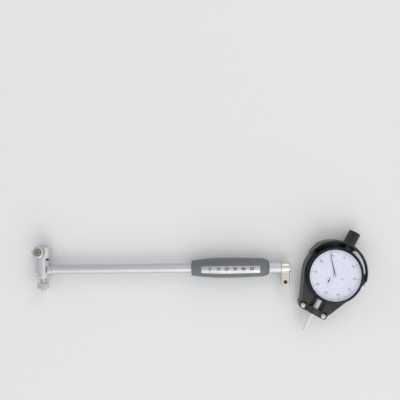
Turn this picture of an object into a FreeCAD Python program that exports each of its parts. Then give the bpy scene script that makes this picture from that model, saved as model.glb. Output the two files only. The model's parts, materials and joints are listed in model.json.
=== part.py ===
"""Dial bore gauge, taken apart: the stem unit and the dial indicator in its guard.

Millimetres. Three working frames are used and brought together at the end.
Stem frame: origin on the measuring axis, X along the tube, Y towards the moving
contact, Z up. Guard frame and dial frame: origin at the centre of the dial, Y
towards the spindle cap, Z up. In all three Z is zero at the height of the axes.
"""
import FreeCAD, Part
import math
import os

from FreeCAD import Placement, Rotation, Vector

# Clearances
RUNNING_GAP = 0.04          # radial, between a shaft and its bearing
CONTACT_GAP = 0.03          # between parts of the mechanism that push each other
LOOSE_GAP = 0.3             # between parts that only pass each other

# Measuring head, stations along Y from the tube axis
HEAD_RADIUS = 6.35
HEAD_TOP = 9.5
HEAD_BOTTOM = -8.9
HEAD_CHAMFER = 2.3
COLLET_RADIUS = 3.5
COLLET_END = -17.0
ANVIL_RADIUS = 2.1
ANVIL_SHANK = 7.8
ANVIL_FLANGE_RADIUS = 3.0
ANVIL_FLANGE = 0.9
ANVIL_TIP = -22.8
NUT_RADIUS = 5.95
NUT_START = -13.7
NUT_WALL = 0.95
NUT_FLUTES = 24

# Moving contact and bell crank
CONTACT_TIP = 26.0
CONTACT_RADIUS = 2.5
CONTACT_NECK_RADIUS = 1.9
CONTACT_FOOT_RADIUS = 1.5
CONTACT_FOOT = 7.5
CONTACT_TIP_RADIUS = 1.5
CONTACT_TRAVEL = 1.6
CRANK_ARM = 3.6
CRANK_NOSE_RADIUS = 1.2
CRANK_HUB_RADIUS = 1.6
CRANK_WEB = 1.2
CRANK_WIDTH = 2.3
CRANK_PIN_RADIUS = 0.75
CRANK_ROOM = 0.3

# Guide sleeve and its wheels
SLEEVE_RADIUS = 8.5
SLEEVE_TOP = 23.1
SLEEVE_BOTTOM = -3.2
SLEEVE_BORE_TOP = 12.8
SLEEVE_SLOT_X = 4.2
SLEEVE_SLOT_TOP = 11.5
SLEEVE_SLOT_ROUND = 3.5
SLEEVE_TRAVEL = 3.0
SPRING_POCKET_RADIUS = 4.0
SPRING_POCKET_TOP = 17.0
WHEEL_X = -3.0
WHEEL_Y = 18.2
WHEEL_RADIUS = 6.1
WHEEL_INNER_Z = 7.2
WHEEL_OUTER_Z = 10.0
WHEEL_GROOVE_INNER = 2.9
WHEEL_GROOVE_OUTER = 3.8
WHEEL_SPOT_Z = 7.0
WHEEL_SPOT_RADIUS = 6.9
WHEEL_PIN_RADIUS = 1.25
WHEEL_PIN_HEAD_RADIUS = 2.3
WHEEL_PIN_DEPTH = 2.5

# Tube and what is on it, stations along X
COLLAR_START = 4.85
COLLAR_END = 9.9
COLLAR_RADIUS = 5.7
BOSS_RADIUS = 4.0
SPIGOT_LENGTH = 12.0
TUBE_RADIUS = 4.8
TUBE_BORE_RADIUS = 3.2
TUBE_END = 249.3
SOCKET_RADIUS = 4.0
SOCKET_DEPTH = 20.0
SOCKET_SLIT = 1.0
SOCKET_SLIT_TURN = 17.0
ROD_RADIUS = 1.4
ROD_END = 213.0
ROD_TIP_RADIUS = 2.2
ROD_TIP_LENGTH = 3.0
ROD_COLLAR_X = 186.0
ROD_COLLAR_LENGTH = 2.0
ROD_COLLAR_RADIUS = 2.7
ROD_BUSH_X = 200.0
ROD_BUSH_LENGTH = 6.0

# Grip with its label, ferrule and dial clamp
GRIP_START = 149.9
GRIP_END = 227.7
GRIP_START_RADIUS = 7.5
GRIP_CROWN_X = 184.0
GRIP_CROWN_RADIUS = 10.1
GRIP_SHOULDER_X = 219.0
GRIP_SHOULDER_RADIUS = 9.15
GRIP_NOSE_RADIUS = 6.6
GRIP_NOSE_BULGE = 0.75
LABEL_START = 159.8
LABEL_END = 218.3
LABEL_THICKNESS = 0.15
LABEL_SWEEP = 43.4
LABEL_TURN = 6.3
FERRULE_END = 239.8
FERRULE_RADIUS = 6.3
CLAMP_START = 240.2
CLAMP_BAND_WIDTH = 7.2
CLAMP_EAR_WIDTH = 8.1
CLAMP_WALL = 1.1
CLAMP_EAR_GAP = 1.6
CLAMP_EAR_THICKNESS = 2.2
CLAMP_EAR_REACH = 17.9
CLAMP_SCREW_Y = -14.7
CLAMP_SCREW_RADIUS = 1.25
CLAMP_SCREW_HEAD_RADIUS = 1.95
CLAMP_SCREW_HEAD = 1.3
CLAMP_SOCKET_FLATS = 2.4

# Where the dial lies beside the stem
DIAL_X = 292.5
DIAL_Y = -7.6
DIAL_LEAN = 28.5
GUARD_LEAN = 0.9

# Dial indicator, heights along Z
CASE_RADIUS = 26.2
CASE_WALL = 1.8
CASE_BACK_Z = -8.6
CASE_BACK_THICKNESS = 1.2
CASE_BACK_LIP = 0.6
BACK_SCREW_ANGLES = (25, 155, 205, 335)
CASE_FLOOR_Z = 8.0
CASE_FRONT_Z = 10.0
CASE_POST_RADIUS = 2.2
CASE_POST_INSET = 4.4
BACK_SCREW_RADIUS = 0.8
BACK_SCREW_HEAD_RADIUS = 1.7
BACK_SCREW_LENGTH = 4.0
CASE_BOSS_RADIUS = 5.4
CASE_BOSS_LENGTH = 2.6
BEZEL_WALL = 2.15
BEZEL_BOTTOM = 6.4
BEZEL_TOP = 14.0
BEZEL_LIP_COVER = 0.7
BEZEL_CRYSTAL_Z = 12.2
BEZEL_FLUTES = 72
BEZEL_FLUTE_DEPTH = 0.25
BEZEL_FLUTE_TOP = 11.2
CRYSTAL_THICKNESS = 1.0
SPACER_WALL = 0.85
DIAL_THICKNESS = 0.4
DIAL_SPLIT_RADIUS = 14.0
DIAL_LIFT = 0.05

# Stem, spindle and cap of the indicator, stations along the dial's Y
STEM_RADIUS = 4.0
STEM_REACH = 19.8
TOP_BUSH_RADIUS = 3.2
TOP_BUSH_REACH = 9.8
CAP_RADIUS = 6.0
CAP_STAND = 7.4
CAP_LENGTH = 14.4
CAP_WALL_END = 1.0
CAP_BORE_RADIUS = 2.6
CAP_THREAD_LENGTH = 2.4
CAP_FLUTES = 20
SPINDLE_RADIUS = 1.9
SPINDLE_RISE = 2.8
SPINDLE_REACH = 12.6
SPINDLE_TRAVEL = 10.0
CONTACT_POINT_RADIUS = 1.9
CONTACT_POINT_BASE = 1.6
CONTACT_POINT_NECK_RADIUS = 1.15
CONTACT_POINT_BALL_RADIUS = 1.5
CONTACT_POINT_LENGTH = 6.1
CONTACT_POINT_THREAD_RADIUS = 1.1
CONTACT_POINT_THREAD = 4.0

# Gear train
RACK_PITCH = 0.625
RACK_LINE_SHARE = 0.0611
RACK_PINION_TEETH = 16
RACK_PINION_WIDTH = 2.4
TRAIN_SHARE = 0.005725
GEAR_TEETH = 100
CENTRE_TEETH = 10
ARBOR_RADIUS = 0.5
GEAR_THICKNESS = 0.7
COUNT_GEAR_Z = 3.9
TAKEUP_GEAR_Z = 5.2
CENTRE_PINION_Z = 3.6
CENTRE_PINION_TOP = 6.3
PLATE_Z = 2.5
PLATE_THICKNESS = 0.8
PLATE_SHARE_X = 0.534
PLATE_SHARE_Y = 0.649
PILLAR_RADIUS = 1.5
PILLAR_INSET = 2.0
HAIRSPRING_Z = 3.45
HAIRSPRING_HEIGHT = 0.3
HAIRSPRING_TURNS = 4
HAIRSPRING_OUTER = 4.6
GUIDE_PIN_RADIUS = 0.8
GUIDE_PIN_Y = 4.0
GUIDE_PIN_END = 10.2
GUIDE_RAIL_X = 5.4
GUIDE_RAIL_WIDTH = 2.2
GUIDE_RAIL_HEIGHT = 4.9
SPRING_X = 9.2

# Hands
MAIN_HAND_INSET = 4.0
MAIN_HAND_TAIL = 1.2
MAIN_HAND_ROOT = 1.1
MAIN_HAND_TIP = 0.3
MAIN_HAND_HUB = 1.7
MAIN_HAND_TURN = 41.0
MAIN_HAND_Z = 11.2
SMALL_HAND_LENGTH = 3.4
SMALL_HAND_TAIL = 1.8
SMALL_HAND_ROOT = 0.7
SMALL_HAND_TIP = 0.25
SMALL_HAND_HUB = 0.85
SMALL_HAND_Z = 10.6
HAND_THICKNESS = 0.22
HAND_HUB_DROP = 0.15
HAND_HUB_RISE = 0.25

# Guard
GUARD_BOTTOM = -10.1
GUARD_FRONT = 6.0
GUARD_PLATE = 2.0
GUARD_WALL = 1.9
GUARD_GAP = 1.4
GUARD_CUT_Y = 11.0
GUARD_FLANGE = 1.5
GUARD_FLANGE_COVER = 2.2
HOOP_CENTRE_Y = 2.4
HOOP_GAP = 1.95
HOOP_WALL = 2.2
HOOP_TOP = 9.0
HOOP_LEDGE = 0.9
HOOP_LEDGE_Z = 6.6
HOOP_END_Y = 9.0
HOOP_TAPER_Y = 20.0
HOOP_TAPER_WALL = 0.7
HOOP_NOSE_Y = 1.5
HOOP_WINDOW_START = 28.0
HOOP_WINDOW_END = 72.0
HOOP_WINDOW_LIP = 1.2
LUG_HALF_WIDTH = 15.8
LUG_DRAW = 8.0
LUG_LENGTH = 7.0
LUG_ROUND = 5.0
LUG_STAND = 8.5
LUG_TOP = 2.0
SLOT_WIDTH = 14.7
SLOT_SHORT = 0.1
COLLAR_BORE_RADIUS = 6.25
STRAP_THICKNESS = 1.4
STRAP_LENGTH = 6.0
STRAP_EAR_THICKNESS = 1.6
STRAP_SCREW_X = 11.5
STRAP_SCREW_RADIUS = 1.5
STRAP_SCREW_DEPTH = 7.0
STRAP_SCREW_HEAD_RADIUS = 2.6
STRAP_SCREW_HEAD = 1.5
STRAP_SPOT_RADIUS = 4.6

# Sizes that follow from the ones above
CRANK_HALF_TURN = math.asin(CONTACT_TRAVEL / 2 / CRANK_ARM)
NOSE_RISE = CONTACT_TRAVEL / 2
CONTACT_END = CRANK_ARM + NOSE_RISE + CRANK_NOSE_RADIUS + CONTACT_GAP
ROD_START = CRANK_ARM - NOSE_RISE + CRANK_NOSE_RADIUS + CONTACT_GAP
NUT_END = COLLET_END - ANVIL_FLANGE - CONTACT_GAP - NUT_WALL
DIAL_STOP = CASE_FRONT_Z + DIAL_LIFT + DIAL_THICKNESS
CASE_POST_CIRCLE = CASE_RADIUS - CASE_POST_INSET
BEZEL_RADIUS = CASE_RADIUS + BEZEL_WALL
BEZEL_LIP_RADIUS = CASE_RADIUS - BEZEL_LIP_COVER
SPACER_INNER_RADIUS = CASE_RADIUS - SPACER_WALL
STEM_END = -CASE_RADIUS - STEM_REACH
TOP_BUSH_END = CASE_RADIUS + TOP_BUSH_REACH
CAP_START = CASE_RADIUS + CAP_STAND
CAP_END = CAP_START + CAP_LENGTH
SPINDLE_TOP = CAP_START + SPINDLE_RISE
SPINDLE_END = STEM_END - SPINDLE_REACH
CONTACT_POINT_TIP = SPINDLE_END - CONTACT_POINT_LENGTH
PLATE_HALF_X = CASE_RADIUS * PLATE_SHARE_X
PLATE_HALF_Y = CASE_RADIUS * PLATE_SHARE_Y
PILLAR_X = PLATE_HALF_X - PILLAR_INSET
PILLAR_Y = PLATE_HALF_Y - PILLAR_INSET
SPRING_POST_Y = -PILLAR_Y
MAIN_HAND_LENGTH = CASE_RADIUS - MAIN_HAND_INSET
GUARD_OPENING_RADIUS = CASE_RADIUS + GUARD_GAP
GUARD_RADIUS = GUARD_OPENING_RADIUS + GUARD_WALL
GUARD_FLANGE_RADIUS = CASE_RADIUS - GUARD_FLANGE_COVER
HOOP_RADIUS = BEZEL_RADIUS + HOOP_GAP + HOOP_WALL
LUG_START = -GUARD_RADIUS - LUG_DRAW
LUG_BLOCK_START = -GUARD_RADIUS - LUG_STAND
LUG_END = LUG_BLOCK_START - LUG_LENGTH
SLOT_END = LUG_BLOCK_START + SLOT_SHORT
RACK_LINE_X = -CASE_RADIUS * RACK_LINE_SHARE
TRAIN_MODULE = CASE_RADIUS * TRAIN_SHARE
RACK_MODULE = RACK_PITCH / math.pi
GEAR_X = RACK_LINE_X - RACK_PINION_TEETH * RACK_MODULE / 2
TRAIN_DISTANCE = (GEAR_TEETH + CENTRE_TEETH) * TRAIN_MODULE / 2
GEAR_Y = -math.sqrt(TRAIN_DISTANCE ** 2 - GEAR_X ** 2)


def lathe(profile):
    """Solid turned about X from (station, radius) pairs; it starts and ends on the axis."""
    points = [Vector(station, radius, 0) for station, radius in profile]
    points = [Vector(points[0].x, 0, 0)] + points + [Vector(points[-1].x, 0, 0)]
    tidy = [points[0]]
    for point in points[1:]:
        if (point - tidy[-1]).Length > 1e-6:
            tidy.append(point)
    face = Part.Face(Part.makePolygon(tidy + [tidy[0]]))
    return face.revolve(Vector(0, 0, 0), Vector(1, 0, 0), 360)


def along_y(shape):
    """Turn a shape made along X so that it lies along Y."""
    turned = shape.copy()
    turned.rotate(Vector(0, 0, 0), Vector(0, 0, 1), 90)
    return turned


def along_z(shape):
    """Turn a shape made along X so that it stands along Z."""
    turned = shape.copy()
    turned.rotate(Vector(0, 0, 0), Vector(0, 1, 0), -90)
    return turned


def moved(shape, x=0.0, y=0.0, z=0.0):
    """A copy of the shape, shifted."""
    copy = shape.copy()
    copy.translate(Vector(x, y, z))
    return copy


def spun(shape, angle, x=0.0, y=0.0):
    """A copy of the shape, turned about a vertical line, in degrees."""
    copy = shape.copy()
    copy.rotate(Vector(x, y, 0), Vector(0, 0, 1), angle)
    return copy


def rod_x(start, end, radius):
    """Plain round bar along X."""
    return Part.makeCylinder(radius, end - start, Vector(start, 0, 0), Vector(1, 0, 0))


def rod_y(start, end, radius, x=0.0, z=0.0):
    """Plain round bar along Y."""
    return Part.makeCylinder(radius, end - start, Vector(x, start, z), Vector(0, 1, 0))


def dome(station, radius, way):
    """Half a ball at the end of a bar along Y; way is 1 towards +Y and -1 towards -Y."""
    return Part.makeSphere(radius, Vector(0, station, 0), Vector(0, way, 0), 0, 90, 360)


def rod_z(start, end, radius, x=0.0, y=0.0):
    """Plain round bar along Z."""
    return Part.makeCylinder(radius, end - start, Vector(x, y, start), Vector(0, 0, 1))


def block(x0, x1, y0, y1, z0, z1):
    """Box between two corners."""
    return Part.makeBox(x1 - x0, y1 - y0, z1 - z0, Vector(x0, y0, z0))


def plate(outline, z0, z1):
    """Flat plate from a closed list of (x, y) points."""
    points = [Vector(x, y, z0) for x, y in outline]
    return Part.Face(Part.makePolygon(points + [points[0]])).extrude(Vector(0, 0, z1 - z0))


def fluted(shape, count, radius, depth, start, end):
    """Cut straight V flutes into a bar along X."""
    half_pitch = math.pi * radius / count * 0.55
    points = [
        Vector(start, radius - depth, 0),
        Vector(start, radius + depth, -half_pitch * 2),
        Vector(start, radius + depth, half_pitch * 2),
    ]
    wedge = Part.Face(Part.makePolygon(points + [points[0]])).extrude(Vector(end - start, 0, 0))
    wedges = []
    for index in range(count):
        cutter = wedge.copy()
        cutter.rotate(Vector(0, 0, 0), Vector(1, 0, 0), 360.0 / count * index)
        wedges.append(cutter)
    return shape.cut(wedges)


def faceted_solid(rings):
    """Solid from rings of points: one ring per station, all of the same count."""
    faces = []
    count = len(rings[0])
    for ring, following in zip(rings, rings[1:]):
        for index in range(count):
            after = (index + 1) % count
            a, b, c, d = ring[index], ring[after], following[after], following[index]
            faces.append(Part.Face(Part.makePolygon([a, b, c, a])))
            faces.append(Part.Face(Part.makePolygon([a, c, d, a])))
    for ring in (rings[0], rings[-1]):
        for index in range(1, count - 1):
            corner = [ring[0], ring[index], ring[index + 1], ring[0]]
            faces.append(Part.Face(Part.makePolygon(corner)))
    solid = Part.Solid(Part.Shell(faces))
    if solid.Volume < 0:
        solid.reverse()
    return solid


def coil_spring(start, end, mean_radius, wire, turns, steps=12):
    """Compression or tension spring along X, in straight wire facets."""
    rings = []
    total = turns * steps
    length = end - start - 2 * wire
    for step in range(total + 1):
        angle = 2 * math.pi * step / steps
        middle = start + wire + length * step / total
        out = Vector(0, math.cos(angle), math.sin(angle))
        ring = []
        for corner in range(4):
            turn = math.pi / 4 + math.pi / 2 * corner
            reach = mean_radius + wire / math.sqrt(2) * math.cos(turn)
            ring.append(Vector(middle + wire / math.sqrt(2) * math.sin(turn), 0, 0) + out * reach)
        rings.append(ring)
    return faceted_solid(rings)


def spiral_spring(inner, outer, turns, height, wire, steps=16):
    """Flat spiral of strip in the XY plane, standing on Z zero."""
    rings = []
    total = turns * steps
    for step in range(total + 1):
        angle = 2 * math.pi * step / steps
        middle = inner + (outer - inner) * step / total
        out = Vector(math.cos(angle), math.sin(angle), 0)
        rings.append([
            out * (middle - wire / 2),
            out * (middle + wire / 2),
            out * (middle + wire / 2) + Vector(0, 0, height),
            out * (middle - wire / 2) + Vector(0, 0, height),
        ])
    return faceted_solid(rings)


def tooth_outline(pitch_radius, angle, pitch_angle, module):
    """Points of one gear tooth, from root to root, about the given angle."""
    tip = pitch_radius + 0.75 * module
    root = pitch_radius - 1.2 * module
    shares = ((-0.32, root), (-0.11, tip))
    points = [(angle + share * pitch_angle, radius) for share, radius in shares]
    points += [(angle - share * pitch_angle, radius) for share, radius in reversed(shares)]
    return [(radius * math.cos(turn), radius * math.sin(turn)) for turn, radius in points]


def spur_gear(teeth, module, z0, z1, first_tooth):
    """Spur gear about Z with one tooth centred on the given direction, in radians."""
    outline = []
    pitch_angle = 2 * math.pi / teeth
    for index in range(teeth):
        angle = first_tooth + pitch_angle * index
        outline += tooth_outline(teeth * module / 2, angle, pitch_angle, module)
    return plate(outline, z0, z1)


def spoked(gear, teeth, module, z0, z1):
    """Open four windows in a gear wheel and leave its hub, spokes and rim."""
    rim = teeth * module / 2 - 1.6
    hub = 2.0
    spoke = 1.3
    ring = rod_z(z0, z1, rim).cut(rod_z(z0, z1, hub))
    cross = block(-rim, rim, -spoke / 2, spoke / 2, z0, z1)
    cross = cross.fuse(block(-spoke / 2, spoke / 2, -rim, rim, z0, z1))
    return gear.cut(ring.cut(cross))


def head_body():
    """Head body with its collet neck below and its boss for the tube at the side."""
    body = along_y(lathe([
        (COLLET_END, COLLET_RADIUS - 0.3), (COLLET_END + 0.3, COLLET_RADIUS),
        (HEAD_BOTTOM, COLLET_RADIUS), (HEAD_BOTTOM, HEAD_RADIUS - 1.7),
        (HEAD_BOTTOM + HEAD_CHAMFER, HEAD_RADIUS),
        (HEAD_TOP - 0.5, HEAD_RADIUS), (HEAD_TOP, HEAD_RADIUS - 0.5),
    ]))
    body = body.fuse(rod_x(0, COLLAR_END, BOSS_RADIUS))
    body = body.fuse(rod_x(COLLAR_END, COLLAR_END + SPIGOT_LENGTH, TUBE_BORE_RADIUS))
    low = -CRANK_NOSE_RADIUS - CRANK_ROOM
    high = CRANK_ARM + CRANK_HUB_RADIUS + CRANK_ROOM
    half = CRANK_WIDTH / 2 + CRANK_ROOM / 2
    plunger_floor = CONTACT_FOOT - CONTACT_TRAVEL - CRANK_ROOM
    cuts = [
        block(low, high, low, CONTACT_FOOT - CONTACT_TRAVEL, -half, half),
        rod_y(plunger_floor, HEAD_TOP + 1, CONTACT_RADIUS + RUNNING_GAP),
        rod_y(CRANK_ARM, plunger_floor, CONTACT_FOOT_RADIUS + 2 * RUNNING_GAP),
        rod_x(CRANK_ARM - NOSE_RISE, COLLAR_END + SPIGOT_LENGTH + 1, ROD_RADIUS + RUNNING_GAP),
        rod_y(COLLET_END - 1, COLLET_END + ANVIL_SHANK + 0.2, ANVIL_RADIUS),
        crank_pin(),
    ]
    for turn in (0, 90):
        slit = block(-0.3, 0.3, COLLET_END - 1, COLLET_END + 4.0, -COLLET_RADIUS, COLLET_RADIUS)
        slit.rotate(Vector(0, 0, 0), Vector(0, 1, 0), turn)
        cuts.append(slit)
    return body.cut(cuts)


def crank_pin():
    """Pin of the bell crank, pressed through the head body."""
    chord = math.sqrt(HEAD_RADIUS ** 2 - (CRANK_ARM + CRANK_PIN_RADIUS) ** 2)
    return rod_z(-chord, chord, CRANK_PIN_RADIUS, CRANK_ARM, CRANK_ARM)


def bell_crank():
    """Two-armed lever with a round nose on each arm, at the start of its turn."""
    half = CRANK_WIDTH / 2
    pivot = Vector(CRANK_ARM, CRANK_ARM, 0)
    lever = rod_z(-half, half, CRANK_HUB_RADIUS, pivot.x, pivot.y)
    arm_up = block(0, CRANK_ARM, CRANK_ARM - CRANK_WEB / 2, CRANK_ARM + CRANK_WEB / 2, -half, half)
    arm_side = block(CRANK_ARM - CRANK_WEB / 2, CRANK_ARM + CRANK_WEB / 2, 0, CRANK_ARM, -half, half)
    lever = lever.fuse([
        arm_up, arm_side,
        rod_z(-half, half, CRANK_NOSE_RADIUS, 0, CRANK_ARM),
        rod_z(-half, half, CRANK_NOSE_RADIUS, CRANK_ARM, 0),
    ]).removeSplitter()
    lever = lever.cut(rod_z(-half, half, CRANK_PIN_RADIUS + RUNNING_GAP, pivot.x, pivot.y))
    lever.rotate(pivot, Vector(0, 0, 1), -math.degrees(CRANK_HALF_TURN))
    return lever


def anvil():
    """Fixed contact: shank in the collet, flange under the nut, domed nose."""
    flange_end = COLLET_END - ANVIL_FLANGE
    body = along_y(lathe([
        (flange_end, ANVIL_FLANGE_RADIUS), (COLLET_END, ANVIL_FLANGE_RADIUS),
        (COLLET_END, ANVIL_RADIUS), (COLLET_END + ANVIL_SHANK, ANVIL_RADIUS),
    ]))
    dome_start = ANVIL_TIP + ANVIL_RADIUS
    body = body.fuse(rod_y(dome_start, flange_end, ANVIL_RADIUS))
    return body.fuse(dome(dome_start, ANVIL_RADIUS, -1))


def lock_nut():
    """Fluted nut that holds the anvil's flange against the collet."""
    nut = along_y(fluted(
        lathe([
            (NUT_END, NUT_RADIUS - 0.5), (NUT_END + 0.5, NUT_RADIUS),
            (NUT_START - 0.5, NUT_RADIUS), (NUT_START, NUT_RADIUS - 0.5),
        ]),
        NUT_FLUTES, NUT_RADIUS, 0.3, NUT_END - 1, NUT_START + 1,
    ))
    thread = rod_y(NUT_END + NUT_WALL, NUT_START + 1, COLLET_RADIUS + RUNNING_GAP)
    return nut.cut([thread, rod_y(NUT_END - 1, NUT_START, ANVIL_RADIUS + RUNNING_GAP)])


def contact_plunger():
    """Plunger of the moving contact, with its foot on the bell crank."""
    tip_seat = CONTACT_TIP - 2 * CONTACT_TIP_RADIUS
    return along_y(lathe([
        (CONTACT_END, CONTACT_FOOT_RADIUS), (CONTACT_FOOT, CONTACT_FOOT_RADIUS),
        (CONTACT_FOOT, CONTACT_RADIUS), (SLEEVE_TOP - 1.2, CONTACT_RADIUS),
        (SLEEVE_TOP - 0.6, CONTACT_NECK_RADIUS), (tip_seat + 0.7, CONTACT_NECK_RADIUS),
    ]))


def contact_tip():
    """Hard domed tip set in the end of the plunger."""
    seat = CONTACT_TIP - 2 * CONTACT_TIP_RADIUS + 0.7
    dome_start = CONTACT_TIP - CONTACT_TIP_RADIUS
    return rod_y(seat, dome_start, CONTACT_TIP_RADIUS).fuse(dome(dome_start, CONTACT_TIP_RADIUS, 1))


def guide_sleeve():
    """Centring bridge: bored to slide on the head, slotted round the tube's boss."""
    sleeve = along_y(lathe([
        (SLEEVE_BOTTOM, SLEEVE_RADIUS - 0.4), (SLEEVE_BOTTOM + 0.4, SLEEVE_RADIUS),
        (SLEEVE_TOP - 1.2, SLEEVE_RADIUS), (SLEEVE_TOP, SLEEVE_RADIUS - 1.2),
    ]))
    corner_x = SLEEVE_RADIUS - SLEEVE_SLOT_ROUND
    corner_y = SLEEVE_SLOT_TOP + SLEEVE_SLOT_ROUND
    reach = SLEEVE_RADIUS + 1
    slot = block(SLEEVE_SLOT_X, reach, SLEEVE_BOTTOM - 1, corner_y, -reach, reach)
    keep = block(SLEEVE_SLOT_X - 1, corner_x, SLEEVE_SLOT_TOP, corner_y + 1, -reach, reach)
    keep = keep.fuse(rod_z(-reach, reach, SLEEVE_SLOT_ROUND, corner_x, corner_y))
    cuts = [
        slot.cut(keep),
        rod_y(SLEEVE_BOTTOM - 1, SLEEVE_BORE_TOP, HEAD_RADIUS + RUNNING_GAP),
        rod_y(SLEEVE_BORE_TOP - 1, SPRING_POCKET_TOP, SPRING_POCKET_RADIUS),
        rod_y(SPRING_POCKET_TOP - 1, SLEEVE_TOP + 1, CONTACT_RADIUS + RUNNING_GAP),
    ]
    for side in (1, -1):
        spot = rod_z(WHEEL_SPOT_Z, SLEEVE_RADIUS + 1, WHEEL_SPOT_RADIUS, WHEEL_X, WHEEL_Y)
        socket = rod_z(WHEEL_SPOT_Z - WHEEL_PIN_DEPTH, WHEEL_SPOT_Z, WHEEL_PIN_RADIUS, WHEEL_X, WHEEL_Y)
        for cutter in (spot, socket):
            cuts.append(cutter if side > 0 else cutter.mirror(Vector(), Vector(0, 0, 1)))
    return sleeve.cut(cuts)


def guide_wheel():
    """Guide wheel on the upper side, with rounded rim and a ring groove in its face."""
    wheel = along_z(lathe([
        (WHEEL_INNER_Z, WHEEL_RADIUS - 0.6), (WHEEL_INNER_Z + 0.6, WHEEL_RADIUS),
        (WHEEL_OUTER_Z - 0.8, WHEEL_RADIUS), (WHEEL_OUTER_Z - 0.2, WHEEL_RADIUS - 0.25),
        (WHEEL_OUTER_Z, WHEEL_RADIUS - 0.8),
    ]))
    groove = rod_z(WHEEL_OUTER_Z - 0.7, WHEEL_OUTER_Z + 1, WHEEL_GROOVE_OUTER)
    groove = groove.cut(rod_z(WHEEL_OUTER_Z - 0.7, WHEEL_OUTER_Z + 1, WHEEL_GROOVE_INNER))
    bore = rod_z(WHEEL_INNER_Z - 1, WHEEL_OUTER_Z + 1, WHEEL_PIN_RADIUS + RUNNING_GAP)
    recess = rod_z(WHEEL_OUTER_Z - 0.9, WHEEL_OUTER_Z + 1, WHEEL_PIN_HEAD_RADIUS + RUNNING_GAP)
    return moved(wheel.cut([groove, bore, recess]), WHEEL_X, WHEEL_Y)


def wheel_pin():
    """Shouldered pin that carries the upper wheel, with a centre hole in its head."""
    head_base = WHEEL_OUTER_Z - 0.9 + RUNNING_GAP
    pin = along_z(lathe([
        (WHEEL_SPOT_Z - WHEEL_PIN_DEPTH, WHEEL_PIN_RADIUS), (head_base, WHEEL_PIN_RADIUS),
        (head_base, WHEEL_PIN_HEAD_RADIUS), (WHEEL_OUTER_Z - 0.25, WHEEL_PIN_HEAD_RADIUS),
        (WHEEL_OUTER_Z - 0.05, WHEEL_PIN_HEAD_RADIUS - 0.2),
    ]))
    washer = rod_z(WHEEL_SPOT_Z, WHEEL_INNER_Z - RUNNING_GAP, WHEEL_PIN_HEAD_RADIUS)
    hole = rod_z(WHEEL_OUTER_Z - 0.6, WHEEL_OUTER_Z + 1, 0.7)
    return moved(pin.fuse(washer).cut(hole), WHEEL_X, WHEEL_Y)


def below(shape):
    """The same shape on the underside."""
    return shape.mirror(Vector(), Vector(0, 0, 1))


def neck_collar():
    """Collar on the boss, coped to seat on the head body."""
    collar = lathe([
        (COLLAR_START, COLLAR_RADIUS - 0.6), (COLLAR_START + 0.6, COLLAR_RADIUS),
        (COLLAR_END - 0.5, COLLAR_RADIUS), (COLLAR_END - 0.1, COLLAR_RADIUS - 0.4),
    ])
    return collar.cut([
        rod_x(COLLAR_START - 1, COLLAR_END + 1, BOSS_RADIUS),
        rod_y(HEAD_BOTTOM, HEAD_TOP, HEAD_RADIUS),
    ])


def tube():
    """Tube, bored out and slit at its end as the socket for the dial's stem."""
    body = lathe([
        (COLLAR_END, TUBE_RADIUS - 0.2), (COLLAR_END + 0.2, TUBE_RADIUS),
        (TUBE_END - 0.3, TUBE_RADIUS), (TUBE_END, TUBE_RADIUS - 0.3),
    ])
    cuts = [
        rod_x(COLLAR_END - 1, TUBE_END + 1, TUBE_BORE_RADIUS),
        rod_x(TUBE_END - SOCKET_DEPTH, TUBE_END + 1, SOCKET_RADIUS),
    ]
    reach = TUBE_RADIUS + 1
    slit = block(FERRULE_END, TUBE_END + 1, -SOCKET_SLIT / 2, SOCKET_SLIT / 2, -reach, reach)
    slit.rotate(Vector(0, 0, 0), Vector(1, 0, 0), -SOCKET_SLIT_TURN)
    return body.cut(cuts + [slit])


def push_rod():
    """Rod from the bell crank to the dial's end of the tube, with its spring collar."""
    rod = rod_x(ROD_START, ROD_END, ROD_RADIUS)
    collar = rod_x(ROD_COLLAR_X, ROD_COLLAR_X + ROD_COLLAR_LENGTH, ROD_COLLAR_RADIUS)
    return rod.fuse(collar)


def grip_profile(offset):
    """Outer edges of the grip as arcs, set off outwards by the given amount."""
    start = Vector(GRIP_START, GRIP_START_RADIUS + offset, 0)
    crown = Vector(GRIP_CROWN_X, GRIP_CROWN_RADIUS + offset, 0)
    shoulder = Vector(GRIP_SHOULDER_X, GRIP_SHOULDER_RADIUS + offset, 0)
    nose = Vector(GRIP_END, GRIP_NOSE_RADIUS + offset, 0)
    left = (start + crown) * 0.5 + Vector(0, (crown.y - start.y) / 4, 0)
    right = (crown + shoulder) * 0.5 + Vector(0, (crown.y - shoulder.y) / 4, 0)
    end = (shoulder + nose) * 0.5 + Vector(0.5, 1, 0) * GRIP_NOSE_BULGE
    edges = [
        Part.Arc(start, left, crown).toShape(),
        Part.Arc(crown, right, shoulder).toShape(),
        Part.Arc(shoulder, end, nose).toShape(),
    ]
    return start, nose, edges


def barrel(offset):
    """The grip's full outer form as a turned solid."""
    start, nose, edges = grip_profile(offset)
    foot_start = Vector(start.x, 0, 0)
    foot_end = Vector(nose.x, 0, 0)
    edges = [Part.makeLine(foot_start, start)] + edges
    edges += [Part.makeLine(nose, foot_end), Part.makeLine(foot_end, foot_start)]
    return Part.Face(Part.Wire(edges)).revolve(Vector(0, 0, 0), Vector(1, 0, 0), 360)


def grip():
    """Barrel-shaped grip on the tube."""
    return barrel(0).cut(rod_x(GRIP_START - 1, GRIP_END + 1, TUBE_RADIUS))


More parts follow.
